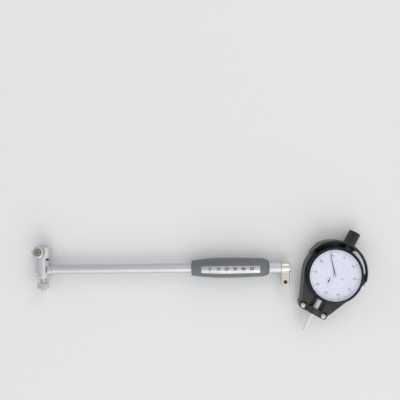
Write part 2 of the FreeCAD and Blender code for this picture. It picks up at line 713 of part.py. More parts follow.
def label_plate():
    """Thin foil plate that follows the grip's curve."""
    reach = GRIP_CROWN_RADIUS + 2
    half = math.tan(math.radians(LABEL_SWEEP / 2)) * reach
    corners = [Vector(LABEL_START, 0, 0), Vector(LABEL_START, -half, reach), Vector(LABEL_START, half, reach)]
    wedge = Part.Face(Part.makePolygon(corners + [corners[0]]))
    wedge = wedge.extrude(Vector(LABEL_END - LABEL_START, 0, 0))
    wedge.rotate(Vector(0, 0, 0), Vector(1, 0, 0), LABEL_TURN)
    return barrel(LABEL_THICKNESS).common(wedge).cut(barrel(0))


def ferrule():
    """Ground sleeve behind the grip, where the guard's collar clamps."""
    outer = lathe([
        (GRIP_END, FERRULE_RADIUS - 0.3), (GRIP_END + 0.3, FERRULE_RADIUS),
        (FERRULE_END - 0.4, FERRULE_RADIUS), (FERRULE_END, FERRULE_RADIUS - 0.4),
    ])
    return outer.cut(rod_x(GRIP_END - 1, FERRULE_END + 1, TUBE_RADIUS))


def dial_clamp():
    """Folded clamp: a band round the tube's end and two ears drawn together."""
    band_radius = TUBE_RADIUS + CLAMP_WALL
    band_end = CLAMP_START + CLAMP_BAND_WIDTH
    ear_end = CLAMP_START + CLAMP_EAR_WIDTH
    inner = CLAMP_EAR_GAP / 2
    outer = inner + CLAMP_EAR_THICKNESS
    clamp = rod_x(CLAMP_START, band_end, band_radius)
    ears = block(CLAMP_START, ear_end, -CLAMP_EAR_REACH, 0, -outer, outer)
    for x in (CLAMP_START, ear_end):
        for z in (-outer, outer):
            ears = ears.cut(edge_round(x, z, 1.0 if x == CLAMP_START else -1.0, outer))
    middle = (CLAMP_START + ear_end) / 2
    clamp = clamp.fuse(ears)
    return clamp.cut([
        rod_x(CLAMP_START - 1, ear_end + 1, TUBE_RADIUS),
        block(CLAMP_START - 1, ear_end + 1, -CLAMP_EAR_REACH - 1, 0, -inner, inner),
        rod_z(-outer - 1, outer + 1, CLAMP_SCREW_RADIUS, middle, CLAMP_SCREW_Y),
        rod_z(outer - CLAMP_SCREW_HEAD, outer + 1, CLAMP_SCREW_HEAD_RADIUS, middle, CLAMP_SCREW_Y),
    ])


def edge_round(x, z, inward, outer):
    """Corner bevel along the long edge of a clamp ear."""
    size = 0.35
    sign = 1 if z > 0 else -1
    points = [
        Vector(x, -CLAMP_EAR_REACH - 1, z),
        Vector(x + inward * size, -CLAMP_EAR_REACH - 1, z),
        Vector(x, -CLAMP_EAR_REACH - 1, sign * (outer - size)),
    ]
    return Part.Face(Part.makePolygon(points + [points[0]])).extrude(Vector(0, CLAMP_EAR_REACH + 2, 0))


def clamp_screw():
    """Socket screw that draws the ears together, its head sunk in the upper ear."""
    middle = CLAMP_START + CLAMP_EAR_WIDTH / 2
    top = CLAMP_EAR_GAP / 2 + CLAMP_EAR_THICKNESS
    head_base = top - CLAMP_SCREW_HEAD
    screw = along_z(lathe([
        (-top, CLAMP_SCREW_RADIUS), (head_base, CLAMP_SCREW_RADIUS),
        (head_base, CLAMP_SCREW_HEAD_RADIUS), (top - 0.2, CLAMP_SCREW_HEAD_RADIUS),
    ]))
    corner = CLAMP_SOCKET_FLATS / math.sqrt(3)
    turns = [math.pi / 3 * index for index in range(6)]
    outline = [(corner * math.cos(turn), corner * math.sin(turn)) for turn in turns]
    return moved(screw.cut(plate(outline, top - 1.1, top)), middle, CLAMP_SCREW_Y)


def spaced(shape, angles):
    """Copies of a shape about the dial's axis, at the given angles."""
    return [spun(shape, angle) for angle in angles]


def dial_case():
    """Case: a cup open at the back, its floor under the dial, bosses for both bushes."""
    case = rod_z(CASE_BACK_Z + CASE_BACK_THICKNESS, CASE_FRONT_Z, CASE_RADIUS)
    hollow = rod_z(CASE_BACK_Z, CASE_FLOOR_Z, CASE_RADIUS - CASE_WALL)
    post = rod_z(CASE_BACK_Z + CASE_BACK_THICKNESS, CASE_FLOOR_Z, CASE_POST_RADIUS, CASE_POST_CIRCLE)
    case = case.cut(hollow.cut(spaced(post, BACK_SCREW_ANGLES)))
    inside = CASE_RADIUS - CASE_WALL
    boss = rod_y(-CASE_RADIUS - CASE_BOSS_LENGTH, -inside, CASE_BOSS_RADIUS)
    bowl = rod_z(-CASE_BOSS_RADIUS, CASE_BOSS_RADIUS, inside)
    case = case.fuse([boss.cut(bowl), top_boss()])
    screw_hole = rod_z(CASE_BACK_Z, CASE_BACK_Z + BACK_SCREW_LENGTH, BACK_SCREW_RADIUS, CASE_POST_CIRCLE)
    floor_hole = ARBOR_RADIUS + RUNNING_GAP
    return case.cut(spaced(screw_hole, BACK_SCREW_ANGLES) + [
        rod_y(-CASE_RADIUS - CASE_BOSS_LENGTH - 1, -inside + 1, STEM_RADIUS),
        rod_y(inside - 1, CASE_RADIUS + CASE_BOSS_LENGTH + 1, TOP_BUSH_RADIUS),
        rod_z(CASE_FLOOR_Z - 1, CASE_FRONT_Z + 1, floor_hole),
        rod_z(CASE_FLOOR_Z - 1, CASE_FRONT_Z + 1, floor_hole, GEAR_X, GEAR_Y),
        rod_z(CASE_FLOOR_Z - 1, CASE_FLOOR_Z + 1, floor_hole, -GEAR_X, -GEAR_Y),
    ])


def top_boss():
    """Round boss on the case for the top bush."""
    inside = CASE_RADIUS - CASE_WALL
    boss = rod_y(inside, CASE_RADIUS + CASE_BOSS_LENGTH / 2, CASE_BOSS_RADIUS - 1)
    return boss.cut(rod_z(-CASE_BOSS_RADIUS, CASE_BOSS_RADIUS, inside))


def case_back():
    """Back cover with a turned step and countersunk screw holes."""
    cover = along_z(lathe([
        (CASE_BACK_Z, CASE_RADIUS - 0.5), (CASE_BACK_Z + 0.3, CASE_RADIUS - 0.2),
        (CASE_BACK_Z + CASE_BACK_THICKNESS, CASE_RADIUS - 0.2),
    ]))
    dish = rod_z(CASE_BACK_Z - 1, CASE_BACK_Z + 0.4, CASE_POST_CIRCLE - 5)
    hole = rod_z(CASE_BACK_Z - 1, CASE_BACK_Z + 3, BACK_SCREW_RADIUS, CASE_POST_CIRCLE)
    seat = rod_z(CASE_BACK_Z - 1, CASE_BACK_Z + CASE_BACK_LIP, BACK_SCREW_HEAD_RADIUS, CASE_POST_CIRCLE)
    return cover.cut([dish] + spaced(hole, BACK_SCREW_ANGLES) + spaced(seat, BACK_SCREW_ANGLES))


def back_screws():
    """Four slotted screws of the back cover."""
    screw = along_z(lathe([
        (CASE_BACK_Z, BACK_SCREW_HEAD_RADIUS - 0.1), (CASE_BACK_Z + CASE_BACK_LIP, BACK_SCREW_HEAD_RADIUS - 0.1),
        (CASE_BACK_Z + CASE_BACK_LIP, BACK_SCREW_RADIUS), (CASE_BACK_Z + BACK_SCREW_LENGTH, BACK_SCREW_RADIUS),
    ]))
    slot = block(-2, 2, -0.2, 0.2, CASE_BACK_Z - 1, CASE_BACK_Z + 0.3)
    return Part.makeCompound(spaced(moved(screw.cut(slot), CASE_POST_CIRCLE), BACK_SCREW_ANGLES))


def stem_bush():
    """The indicator's stem, bored for the spindle."""
    start = -CASE_RADIUS + CASE_WALL + 0.2
    stem = along_y(lathe([
        (STEM_END, STEM_RADIUS - 0.4), (STEM_END + 0.4, STEM_RADIUS), (start, STEM_RADIUS),
    ]))
    return stem.cut(rod_y(STEM_END - 1, start + 1, SPINDLE_RADIUS + RUNNING_GAP))


def top_bush():
    """Bush that guides the top of the spindle and carries the cap."""
    start = CASE_RADIUS - CASE_WALL - 0.2
    bush = rod_y(start, TOP_BUSH_END, TOP_BUSH_RADIUS)
    return bush.cut(rod_y(start - 1, TOP_BUSH_END + 1, SPINDLE_RADIUS + RUNNING_GAP))


def spindle_cap():
    """Ribbed cap over the top of the spindle."""
    cap = fluted(
        lathe([
            (CAP_START, CAP_RADIUS - 0.5), (CAP_START + 0.5, CAP_RADIUS),
            (CAP_END - 0.8, CAP_RADIUS), (CAP_END, CAP_RADIUS - 0.8),
        ]),
        CAP_FLUTES, CAP_RADIUS, 0.45, CAP_START + 4.0, CAP_END + 1,
    )
    return along_y(cap).cut([
        rod_y(CAP_START - 1, CAP_START + CAP_THREAD_LENGTH, TOP_BUSH_RADIUS),
        rod_y(CAP_START, CAP_END - CAP_WALL_END, CAP_BORE_RADIUS),
    ])


def bezel():
    """Turned ring over the front of the case, its grip edge finely fluted."""
    ring = fluted(
        lathe([
            (BEZEL_BOTTOM, BEZEL_RADIUS - 0.3), (BEZEL_BOTTOM + 0.3, BEZEL_RADIUS),
            (BEZEL_TOP - 2.0, BEZEL_RADIUS), (BEZEL_TOP - 1.6, BEZEL_RADIUS - 0.5),
            (BEZEL_TOP - 0.3, BEZEL_RADIUS - 1.2), (BEZEL_TOP, BEZEL_RADIUS - 1.7),
        ]),
        BEZEL_FLUTES, BEZEL_RADIUS, BEZEL_FLUTE_DEPTH, BEZEL_BOTTOM - 1, BEZEL_FLUTE_TOP,
    )
    lip = lathe([
        (BEZEL_CRYSTAL_Z + CRYSTAL_THICKNESS, BEZEL_LIP_RADIUS), (BEZEL_TOP + 0.01, BEZEL_LIP_RADIUS + 0.5),
    ])
    bore = rod_z(BEZEL_BOTTOM - 1, BEZEL_CRYSTAL_Z + CRYSTAL_THICKNESS, CASE_RADIUS + RUNNING_GAP)
    return along_z(ring).cut([bore, along_z(lip)])


def crystal():
    """Flat window under the bezel's lip."""
    return rod_z(BEZEL_CRYSTAL_Z, BEZEL_CRYSTAL_Z + CRYSTAL_THICKNESS, CASE_RADIUS)


def spacer_ring():
    """White ring between the dial ring and the crystal."""
    outer = rod_z(DIAL_STOP, BEZEL_CRYSTAL_Z, CASE_RADIUS)
    inner = along_z(lathe([
        (DIAL_STOP, SPACER_INNER_RADIUS), (BEZEL_CRYSTAL_Z, SPACER_INNER_RADIUS + 0.3),
    ]))
    return outer.cut(inner)


def dial_ring():
    """Ring with the main scale, which turns with the bezel."""
    bottom = CASE_FRONT_Z + DIAL_LIFT
    ring = rod_z(bottom, DIAL_STOP, CASE_RADIUS)
    return ring.cut(rod_z(bottom - 1, DIAL_STOP + 1, DIAL_SPLIT_RADIUS + 2 * DIAL_LIFT))


def dial_disc():
    """Inner disc with the turn counter's scale, fixed to the case."""
    disc = rod_z(CASE_FRONT_Z, CASE_FRONT_Z + DIAL_THICKNESS, DIAL_SPLIT_RADIUS)
    hole = rod_z(CASE_FRONT_Z - 1, CASE_FRONT_Z + 1, ARBOR_RADIUS + LOOSE_GAP)
    return disc.cut([hole, moved(hole, GEAR_X, GEAR_Y)])


def spindle():
    """Spindle with its rack, its foot bored for the contact point."""
    body = rod_y(SPINDLE_END, SPINDLE_TOP, SPINDLE_RADIUS)
    rack_low = GEAR_Y - SPINDLE_TRAVEL - 2.5 * RACK_PITCH
    rack_high = GEAR_Y + 2.5 * RACK_PITCH
    tip = RACK_LINE_X - 0.75 * RACK_MODULE
    root = RACK_LINE_X + 1.2 * RACK_MODULE
    flat = block(-SPINDLE_RADIUS - 1, tip, rack_low, rack_high, -SPINDLE_RADIUS, SPINDLE_RADIUS)
    spaces = []
    count = round((rack_high - rack_low) / RACK_PITCH)
    for index in range(-2, count - 2):
        middle = GEAR_Y - index * RACK_PITCH
        wide = RACK_PITCH * 0.40
        line = RACK_PITCH * 0.30
        narrow = RACK_PITCH * 0.19
        outline = [
            (tip - 1, middle - wide), (tip, middle - wide), (RACK_LINE_X, middle - line),
            (root, middle - narrow), (root, middle + narrow), (RACK_LINE_X, middle + line),
            (tip, middle + wide), (tip - 1, middle + wide),
        ]
        spaces.append(plate(outline, -SPINDLE_RADIUS, SPINDLE_RADIUS))
    thread = rod_y(SPINDLE_END - 1, SPINDLE_END + CONTACT_POINT_THREAD, CONTACT_POINT_THREAD_RADIUS)
    pin_hole = Part.makeCylinder(
        GUIDE_PIN_RADIUS, SPINDLE_RADIUS + 1, Vector(0.5, GUIDE_PIN_Y, 0), Vector(1, 0, 0))
    return body.cut([flat, thread, pin_hole] + spaces)


def contact_point():
    """Screw-in contact point with a ball end."""
    ball_middle = CONTACT_POINT_TIP + CONTACT_POINT_BALL_RADIUS
    body = along_y(lathe([
        (ball_middle, CONTACT_POINT_NECK_RADIUS),
        (SPINDLE_END - CONTACT_POINT_BASE - 1.2, CONTACT_POINT_NECK_RADIUS),
        (SPINDLE_END - CONTACT_POINT_BASE, CONTACT_POINT_RADIUS), (SPINDLE_END, CONTACT_POINT_RADIUS),
        (SPINDLE_END, CONTACT_POINT_THREAD_RADIUS),
        (SPINDLE_END + CONTACT_POINT_THREAD - 0.2, CONTACT_POINT_THREAD_RADIUS),
    ]))
    return body.fuse(Part.makeSphere(CONTACT_POINT_BALL_RADIUS, Vector(0, ball_middle, 0)))


def guide_pin():
    """Pin in the side of the spindle that keeps it from turning and pulls its spring."""
    pin = Part.makeCylinder(
        GUIDE_PIN_RADIUS, GUIDE_PIN_END - 0.5, Vector(0.5, GUIDE_PIN_Y, 0), Vector(1, 0, 0))
    return pin


def guide_rail():
    """Slotted rail for the guide pin, hung from the movement plate."""
    x1 = GUIDE_RAIL_X + GUIDE_RAIL_WIDTH
    low = GUIDE_PIN_Y - GUIDE_PIN_RADIUS - 0.5
    high = GUIDE_PIN_Y + SPINDLE_TRAVEL + GUIDE_PIN_RADIUS + 0.5
    half = GUIDE_PIN_RADIUS + RUNNING_GAP
    rail = block(GUIDE_RAIL_X, x1, low - 1.5, high + 1.0, PLATE_Z - GUIDE_RAIL_HEIGHT, PLATE_Z)
    return rail.cut(block(GUIDE_RAIL_X - 1, x1 + 1, low, high, -half, half))


def movement_plate():
    """Plate of the movement on four pillars, with its pivots and the spring's post."""
    corner = 3.0
    sheet = block(-PLATE_HALF_X, PLATE_HALF_X, -PLATE_HALF_Y, PLATE_HALF_Y, PLATE_Z, PLATE_Z + PLATE_THICKNESS)
    uprights = [edge for edge in sheet.Edges if abs(edge.tangentAt(edge.FirstParameter).z) > 0.9]
    sheet = sheet.makeFillet(corner, uprights)
    pillars = []
    holes = []
    for x in (-PILLAR_X, PILLAR_X):
        for y in (-PILLAR_Y, PILLAR_Y):
            pillars.append(rod_z(PLATE_Z, CASE_FLOOR_Z, PILLAR_RADIUS, x, y))
            holes.append(rod_z(PLATE_Z - 1, PLATE_Z + 2.5, 0.6, x, y))
    post = rod_z(-1.2, PLATE_Z, 0.7, SPRING_X, SPRING_POST_Y)
    stud = rod_z(PLATE_Z, HAIRSPRING_Z + HAIRSPRING_HEIGHT, 0.4, -GEAR_X + HAIRSPRING_OUTER + 0.55, -GEAR_Y)
    bore = ARBOR_RADIUS + RUNNING_GAP
    for x, y in ((0, 0), (GEAR_X, GEAR_Y), (-GEAR_X, -GEAR_Y)):
        holes.append(rod_z(PLATE_Z - 1, PLATE_Z + 2, bore, x, y))
    return sheet.fuse(pillars + [post, stud]).cut(holes)


def movement_screws():
    """Four screws that hold the movement plate's pillars."""
    screws = []
    for x in (-PILLAR_X, PILLAR_X):
        for y in (-PILLAR_Y, PILLAR_Y):
            screw = along_z(lathe([
                (PLATE_Z - 0.8, 1.1), (PLATE_Z, 1.1), (PLATE_Z, 0.6), (PLATE_Z + 2.4, 0.6),
            ]))
            slot = block(-2, 2, -0.15, 0.15, PLATE_Z - 1, PLATE_Z - 0.5)
            screws.append(moved(screw.cut(slot), x, y))
    return Part.makeCompound(screws)


def rack_pinion_shaft():
    """Arbor with the pinion that the rack turns."""
    pinion_top = RACK_PINION_WIDTH / 2
    arbor = rod_z(-pinion_top, SMALL_HAND_Z + HAND_THICKNESS + 0.2, ARBOR_RADIUS)
    pinion = spur_gear(RACK_PINION_TEETH, RACK_MODULE, -pinion_top, pinion_top, 0.0)
    shoulder = rod_z(pinion_top, PLATE_Z - 0.2, ARBOR_RADIUS + 0.5)
    return moved(pinion.fuse([arbor, shoulder]), GEAR_X, GEAR_Y)


def train_gear(z0, x, y, bore):
    """Large gear of the train, with a tooth that points at the centre pinion."""
    z1 = z0 + GEAR_THICKNESS
    towards_centre = math.atan2(-y, -x)
    gear = spur_gear(GEAR_TEETH, TRAIN_MODULE, z0, z1, towards_centre)
    gear = spoked(gear, GEAR_TEETH, TRAIN_MODULE, z0, z1)
    if bore > 0:
        gear = gear.cut(rod_z(z0 - 1, z1 + 1, bore))
    return moved(gear, x, y)


def takeup_gear():
    """Second large gear, on its own arbor, which the hairspring loads."""
    arbor = rod_z(PLATE_Z, CASE_FLOOR_Z + 0.8, ARBOR_RADIUS, -GEAR_X, -GEAR_Y)
    return train_gear(TAKEUP_GEAR_Z, -GEAR_X, -GEAR_Y, 0).fuse(arbor)


def centre_pinion():
    """Centre arbor with its ten-tooth pinion between the two large gears."""
    towards_gear = math.atan2(GEAR_Y, GEAR_X)
    gap = towards_gear + math.pi / CENTRE_TEETH
    pinion = spur_gear(CENTRE_TEETH, TRAIN_MODULE, CENTRE_PINION_Z, CENTRE_PINION_TOP, gap)
    return pinion.fuse(rod_z(PLATE_Z, MAIN_HAND_Z + 0.5, ARBOR_RADIUS))


def hairspring():
    """Hairspring on the take-up arbor, pinned to its stud."""
    spring = spiral_spring(ARBOR_RADIUS + 0.15, HAIRSPRING_OUTER, HAIRSPRING_TURNS, HAIRSPRING_HEIGHT, 0.14)
    return moved(spring, -GEAR_X, -GEAR_Y, HAIRSPRING_Z)


def hand(length, tail, root_width, tip_width, hub_radius, z):
    """Tapered pointer along Y with a round hub."""
    outline = [
        (-root_width / 2, 0), (-tip_width / 2, length), (tip_width / 2, length), (root_width / 2, 0),
        (root_width * 0.9, -tail), (-root_width * 0.9, -tail),
    ]
    pointer = plate(outline, z, z + HAND_THICKNESS)
    hub = rod_z(z - HAND_HUB_DROP, z + HAND_THICKNESS + HAND_HUB_RISE, hub_radius)
    return pointer.fuse(hub).cut(rod_z(z - 1, z + 2, ARBOR_RADIUS))


def main_hand():
    """Hand of the main scale, at rest a little before the top."""
    pointer = hand(MAIN_HAND_LENGTH, MAIN_HAND_TAIL, MAIN_HAND_ROOT, MAIN_HAND_TIP, MAIN_HAND_HUB, MAIN_HAND_Z)
    return spun(pointer, MAIN_HAND_TURN)


def small_hand():
    """Hand of the turn counter."""
    pointer = hand(SMALL_HAND_LENGTH, SMALL_HAND_TAIL, SMALL_HAND_ROOT, SMALL_HAND_TIP, SMALL_HAND_HUB,
                   SMALL_HAND_Z)
    return moved(pointer, GEAR_X, GEAR_Y)


def guard_outline(inset):
    """Outline of the guard's lower body: a round top drawn in to the lug."""
    radius = GUARD_RADIUS - inset
    half = LUG_HALF_WIDTH - inset
    end = LUG_END + inset
    distance = math.hypot(half, LUG_START)
    turn = math.atan2(-LUG_START, half) - math.acos(radius / distance)
    tangent = Vector(radius * math.cos(turn), -radius * math.sin(turn), 0)
    corner = LUG_ROUND - inset
    slant = corner * (1 - math.sqrt(0.5))
    left = Vector(-tangent.x, tangent.y, 0)
    edges = [
        Part.Arc(tangent, Vector(0, radius, 0), left).toShape(),
        Part.makeLine(left, Vector(-half, LUG_START, 0)),
        Part.makeLine(Vector(-half, LUG_START, 0), Vector(-half, end + corner, 0)),
        Part.Arc(Vector(-half, end + corner, 0), Vector(-half + slant, end + slant, 0),
                 Vector(-half + corner, end, 0)).toShape(),
        Part.makeLine(Vector(-half + corner, end, 0), Vector(half - corner, end, 0)),
        Part.Arc(Vector(half - corner, end, 0), Vector(half - slant, end + slant, 0),
                 Vector(half, end + corner, 0)).toShape(),
        Part.makeLine(Vector(half, end + corner, 0), Vector(half, LUG_START, 0)),
        Part.makeLine(Vector(half, LUG_START, 0), tangent),
    ]
    return Part.Face(Part.Wire(edges))


def guard_prism(inset, z0, z1):
    """Upright prism of the guard's outline."""
    face = guard_outline(inset)
    face.translate(Vector(0, 0, z0))
    return face.extrude(Vector(0, 0, z1 - z0))


def hoop():
    """Hoop round the dial's upper half, with the step inside its front edge."""
    centre = (0, HOOP_CENTRE_Y)
    inner = HOOP_RADIUS - HOOP_WALL
    ring = rod_z(GUARD_BOTTOM, HOOP_TOP, HOOP_RADIUS, *centre)
    ring = ring.cut([
        rod_z(GUARD_BOTTOM - 1, HOOP_TOP + 1, inner, *centre),
        rod_z(HOOP_LEDGE_Z, HOOP_TOP + 1, inner + HOOP_LEDGE, *centre),
    ])
    reach = HOOP_RADIUS + 5
    return ring.cut(block(-reach, reach, -reach, HOOP_END_Y, GUARD_BOTTOM - 1, HOOP_TOP + 1))


def hoop_window():
    """Cutter for the window in the hoop's wall that leaves the bezel free to a finger."""
    reach = 2 * HOOP_RADIUS
    start, end = math.radians(HOOP_WINDOW_START), math.radians(HOOP_WINDOW_END)
    corners = [(0, 0), (reach * math.cos(start), reach * math.sin(start)),
               (reach * math.cos(end), reach * math.sin(end))]
    wedge = plate(corners, GUARD_BOTTOM - 1, GUARD_FRONT)
    return wedge.cut(rod_z(GUARD_BOTTOM - 1, GUARD_FRONT, GUARD_FLANGE_RADIUS + HOOP_WINDOW_LIP))


def hoop_taper():
    """Cutter that draws the hoop's left end in to the side wall of the body."""
    reach = 2 * HOOP_RADIUS
    rise = HOOP_TAPER_Y - HOOP_CENTRE_Y
    start = Vector(-math.sqrt(HOOP_RADIUS ** 2 - rise ** 2), HOOP_TAPER_Y, 0)
    inner = HOOP_RADIUS - HOOP_WALL
    drop = HOOP_END_Y - HOOP_CENTRE_Y
    end = Vector(-math.sqrt(inner ** 2 - drop ** 2) - HOOP_TAPER_WALL, HOOP_END_Y, 0)
    slope = (end.x - start.x) / (end.y - start.y)
    low = HOOP_END_Y - 1
    corners = [(start.x, start.y), (end.x + slope * (low - end.y), low), (-reach, low), (-reach, start.y)]
    return plate(corners, GUARD_BOTTOM - 1, HOOP_TOP + 1)


def hoop_nose():
    """Web that closes the hoop's right end on to the body."""
    drop = HOOP_END_Y - HOOP_CENTRE_Y
    outer = math.sqrt(HOOP_RADIUS ** 2 - drop ** 2)
    corners = [(0, GUARD_CUT_Y), (outer - 1, GUARD_CUT_Y), (outer, HOOP_END_Y), (outer, (HOOP_END_Y + HOOP_NOSE_Y) / 2),
               (GUARD_RADIUS - 0.4, HOOP_NOSE_Y), (0, HOOP_NOSE_Y)]
    web = plate(corners, GUARD_BOTTOM, GUARD_FRONT)
    return web.cut(rod_z(GUARD_BOTTOM - 1, GUARD_FRONT + 1, GUARD_OPENING_RADIUS))


def guard_body():
    """Guard in one casting: front plate, side walls, rear flange, lug and hoop."""
    reach = 2 * HOOP_RADIUS
    shell = guard_prism(0, GUARD_BOTTOM, GUARD_FRONT)
    hollow = guard_prism(GUARD_WALL, GUARD_BOTTOM + GUARD_FLANGE, GUARD_FRONT - GUARD_PLATE)
    hollow = hollow.cut(block(-reach, reach, -reach, LUG_BLOCK_START, -reach, reach))
    rear = guard_prism(GUARD_WALL, GUARD_BOTTOM - 1, GUARD_BOTTOM + GUARD_FLANGE)
    rear = rear.cut(block(-reach, reach, -reach, LUG_BLOCK_START, -reach, reach))
    flange = rod_z(GUARD_BOTTOM - 1, GUARD_BOTTOM + GUARD_FLANGE, GUARD_RADIUS)
    flange = flange.cut(rod_z(GUARD_BOTTOM - 1, GUARD_BOTTOM + GUARD_FLANGE, GUARD_FLANGE_RADIUS))
    flange = flange.cut(block(-SLOT_WIDTH / 2, SLOT_WIDTH / 2, -reach, 0, -reach, reach))
    opening = rod_z(GUARD_BOTTOM + GUARD_FLANGE, GUARD_FRONT + 1, GUARD_OPENING_RADIUS)
    slot = block(-SLOT_WIDTH / 2, SLOT_WIDTH / 2, SLOT_END, -GUARD_FLANGE_RADIUS, GUARD_BOTTOM - 1, reach)
    body = shell.cut([hollow, rear.cut(flange), opening, slot])
    body = body.cut(block(-reach, reach, GUARD_CUT_Y, reach, -reach, reach))
    joint = block(-HOOP_RADIUS + 0.4, HOOP_RADIUS - 0.4, HOOP_END_Y, GUARD_CUT_Y, GUARD_BOTTOM, GUARD_FRONT)
    joint = joint.cut(rod_z(GUARD_BOTTOM - 1, GUARD_FRONT + 1, GUARD_OPENING_RADIUS))
    upper_flange = rod_z(GUARD_BOTTOM, GUARD_BOTTOM + GUARD_FLANGE, HOOP_RADIUS - HOOP_WALL / 2, 0, HOOP_CENTRE_Y)
    upper_flange = upper_flange.cut(rod_z(GUARD_BOTTOM - 1, GUARD_FRONT, GUARD_FLANGE_RADIUS))
    upper_flange = upper_flange.cut(block(-reach, reach, -reach, HOOP_END_Y, GUARD_BOTTOM - 1, GUARD_FRONT))
    upper = hoop().fuse([joint, upper_flange]).cut(hoop_taper())
    body = body.fuse([upper, hoop_nose()])
    step = block(-reach, reach, LUG_END - 1, LUG_BLOCK_START, LUG_TOP, reach)
    lug_flats = [step]
    for side in (-1, 1):
        x = side * STRAP_SCREW_X
        lug_flats.append(rod_z(LUG_TOP, reach, STRAP_SPOT_RADIUS, x, strap_middle()))
        lug_flats.append(rod_z(LUG_TOP - STRAP_SCREW_DEPTH, LUG_TOP + 1, STRAP_SCREW_RADIUS, x, strap_middle()))
    cap_hole = rod_y(HOOP_CENTRE_Y, HOOP_CENTRE_Y + HOOP_RADIUS + 1, CAP_RADIUS + LOOSE_GAP)
    channel = rod_y(LUG_END - 1, LUG_BLOCK_START + 1, COLLAR_BORE_RADIUS)
    return body.cut(lug_flats + [cap_hole, channel, hoop_window()])


def strap_middle():
    """Station of the strap's screws along the guard's axis."""
    return (LUG_BLOCK_START + LUG_END) / 2


def guard_strap():
    """Saddle strap over the collar's channel, with an ear on each side."""
    outer = COLLAR_BORE_RADIUS + STRAP_THICKNESS
    low = strap_middle() - STRAP_LENGTH / 2
    high = strap_middle() + STRAP_LENGTH / 2
    half = STRAP_SCREW_X + STRAP_SCREW_HEAD_RADIUS + 1.0
    ears = block(-half, half, low, high, LUG_TOP, LUG_TOP + STRAP_EAR_THICKNESS)
    corners = [edge for edge in ears.Edges if abs(edge.tangentAt(edge.FirstParameter).z) > 0.9]
    ears = ears.makeFillet(1.5, corners)
    arch = rod_y(low, high, outer).cut(block(-outer - 1, outer + 1, low - 1, high + 1, -outer - 1, LUG_TOP))
    strap = ears.fuse(arch)
    cuts = [rod_y(low - 1, high + 1, COLLAR_BORE_RADIUS)]
    for side in (-1, 1):
        cuts.append(rod_z(LUG_TOP - 1, LUG_TOP + 5, STRAP_SCREW_RADIUS + 0.2, side * STRAP_SCREW_X, strap_middle()))
    return strap.cut(cuts)


def guard_screws():
    """Two pan-head cross screws that hold the strap."""
    base = LUG_TOP + STRAP_EAR_THICKNESS
    profile = [
        (LUG_TOP - STRAP_SCREW_DEPTH + 0.5, STRAP_SCREW_RADIUS), (base, STRAP_SCREW_RADIUS),
        (base, STRAP_SCREW_HEAD_RADIUS), (base + STRAP_SCREW_HEAD * 0.5, STRAP_SCREW_HEAD_RADIUS - 0.1),
        (base + STRAP_SCREW_HEAD * 0.85, STRAP_SCREW_HEAD_RADIUS - 0.7),
        (base + STRAP_SCREW_HEAD, STRAP_SCREW_HEAD_RADIUS - 1.4),
    ]
    screw = along_z(lathe(profile))
    top = base + STRAP_SCREW_HEAD
    cross = block(-1.5, 1.5, -0.3, 0.3, top - 0.9, top + 1)
    cross = cross.fuse(block(-0.3, 0.3, -1.5, 1.5, top - 0.9, top + 1))
    screw = screw.cut(cross)
    return Part.makeCompound([moved(screw, side * STRAP_SCREW_X, strap_middle()) for side in (-1, 1)])


def stem_unit():
    """All pieces of the stem unit, in the stem frame."""
    near_wheel = guide_wheel()
    near_pin = wheel_pin()
    spring_room = SPRING_POCKET_TOP - HEAD_TOP
    collar_end = ROD_COLLAR_X + ROD_COLLAR_LENGTH
    return {
        "head_body": head_body(),
        "crank_pin": crank_pin(),
        "bell_crank": bell_crank(),
        "anvil": anvil(),
        "lock_nut": lock_nut(),
        "contact_plunger": contact_plunger(),
        "contact_tip": contact_tip(),
        "guide_sleeve": guide_sleeve(),
        "guide_spring": along_y(coil_spring(HEAD_TOP, HEAD_TOP + spring_room, 3.2, 0.5, 5)),
        "guide_wheel_near": near_wheel,
        "guide_wheel_far": below(near_wheel),
        "wheel_pin_near": near_pin,
        "wheel_pin_far": below(near_pin),
        "neck_collar": neck_collar(),
        "tube": tube(),
        "push_rod": push_rod(),
        "push_rod_tip": rod_x(ROD_END, ROD_END + ROD_TIP_LENGTH, ROD_TIP_RADIUS),
        "push_rod_spring": coil_spring(collar_end, ROD_BUSH_X, 2.15, 0.5, 7),
        "rod_bush": rod_x(ROD_BUSH_X, ROD_BUSH_X + ROD_BUSH_LENGTH, TUBE_BORE_RADIUS).cut(
            rod_x(ROD_BUSH_X - 1, ROD_BUSH_X + ROD_BUSH_LENGTH + 1, ROD_RADIUS + RUNNING_GAP)),
        "grip": grip(),
        "label_plate": label_plate(),
        "ferrule": ferrule(),
        "dial_clamp": dial_clamp(),
        "clamp_screw": clamp_screw(),
    }


def dial_unit():
    """All pieces of the dial indicator, in the dial frame."""
    spring_start = SPRING_POST_Y + 0.7
    spring_end = GUIDE_PIN_Y - GUIDE_PIN_RADIUS
    spindle_spring = along_y(coil_spring(spring_start, spring_end, 1.0, 0.4, 12, steps=10))
    return {
        "dial_case": dial_case(),
        "case_back": case_back(),
        "back_screws": back_screws(),
        "stem_bush": stem_bush(),
        "top_bush": top_bush(),
        "spindle_cap": spindle_cap(),
        "bezel": bezel(),
        "crystal": crystal(),
        "spacer_ring": spacer_ring(),
        "dial_ring": dial_ring(),
        "dial_disc": dial_disc(),
        "spindle": spindle(),
        "contact_point": contact_point(),
        "guide_pin": guide_pin(),
        "guide_rail": guide_rail(),
        "spindle_spring": moved(spindle_spring, SPRING_X),
        "movement_plate": movement_plate(),
        "movement_screws": movement_screws(),
        "rack_pinion_shaft": rack_pinion_shaft(),
        "count_gear": train_gear(COUNT_GEAR_Z, GEAR_X, GEAR_Y, ARBOR_RADIUS),
        "small_hand": small_hand(),
        "centre_pinion": centre_pinion(),
        "main_hand": main_hand(),
        "takeup_gear": takeup_gear(),
        "hairspring": hairspring(),
    }


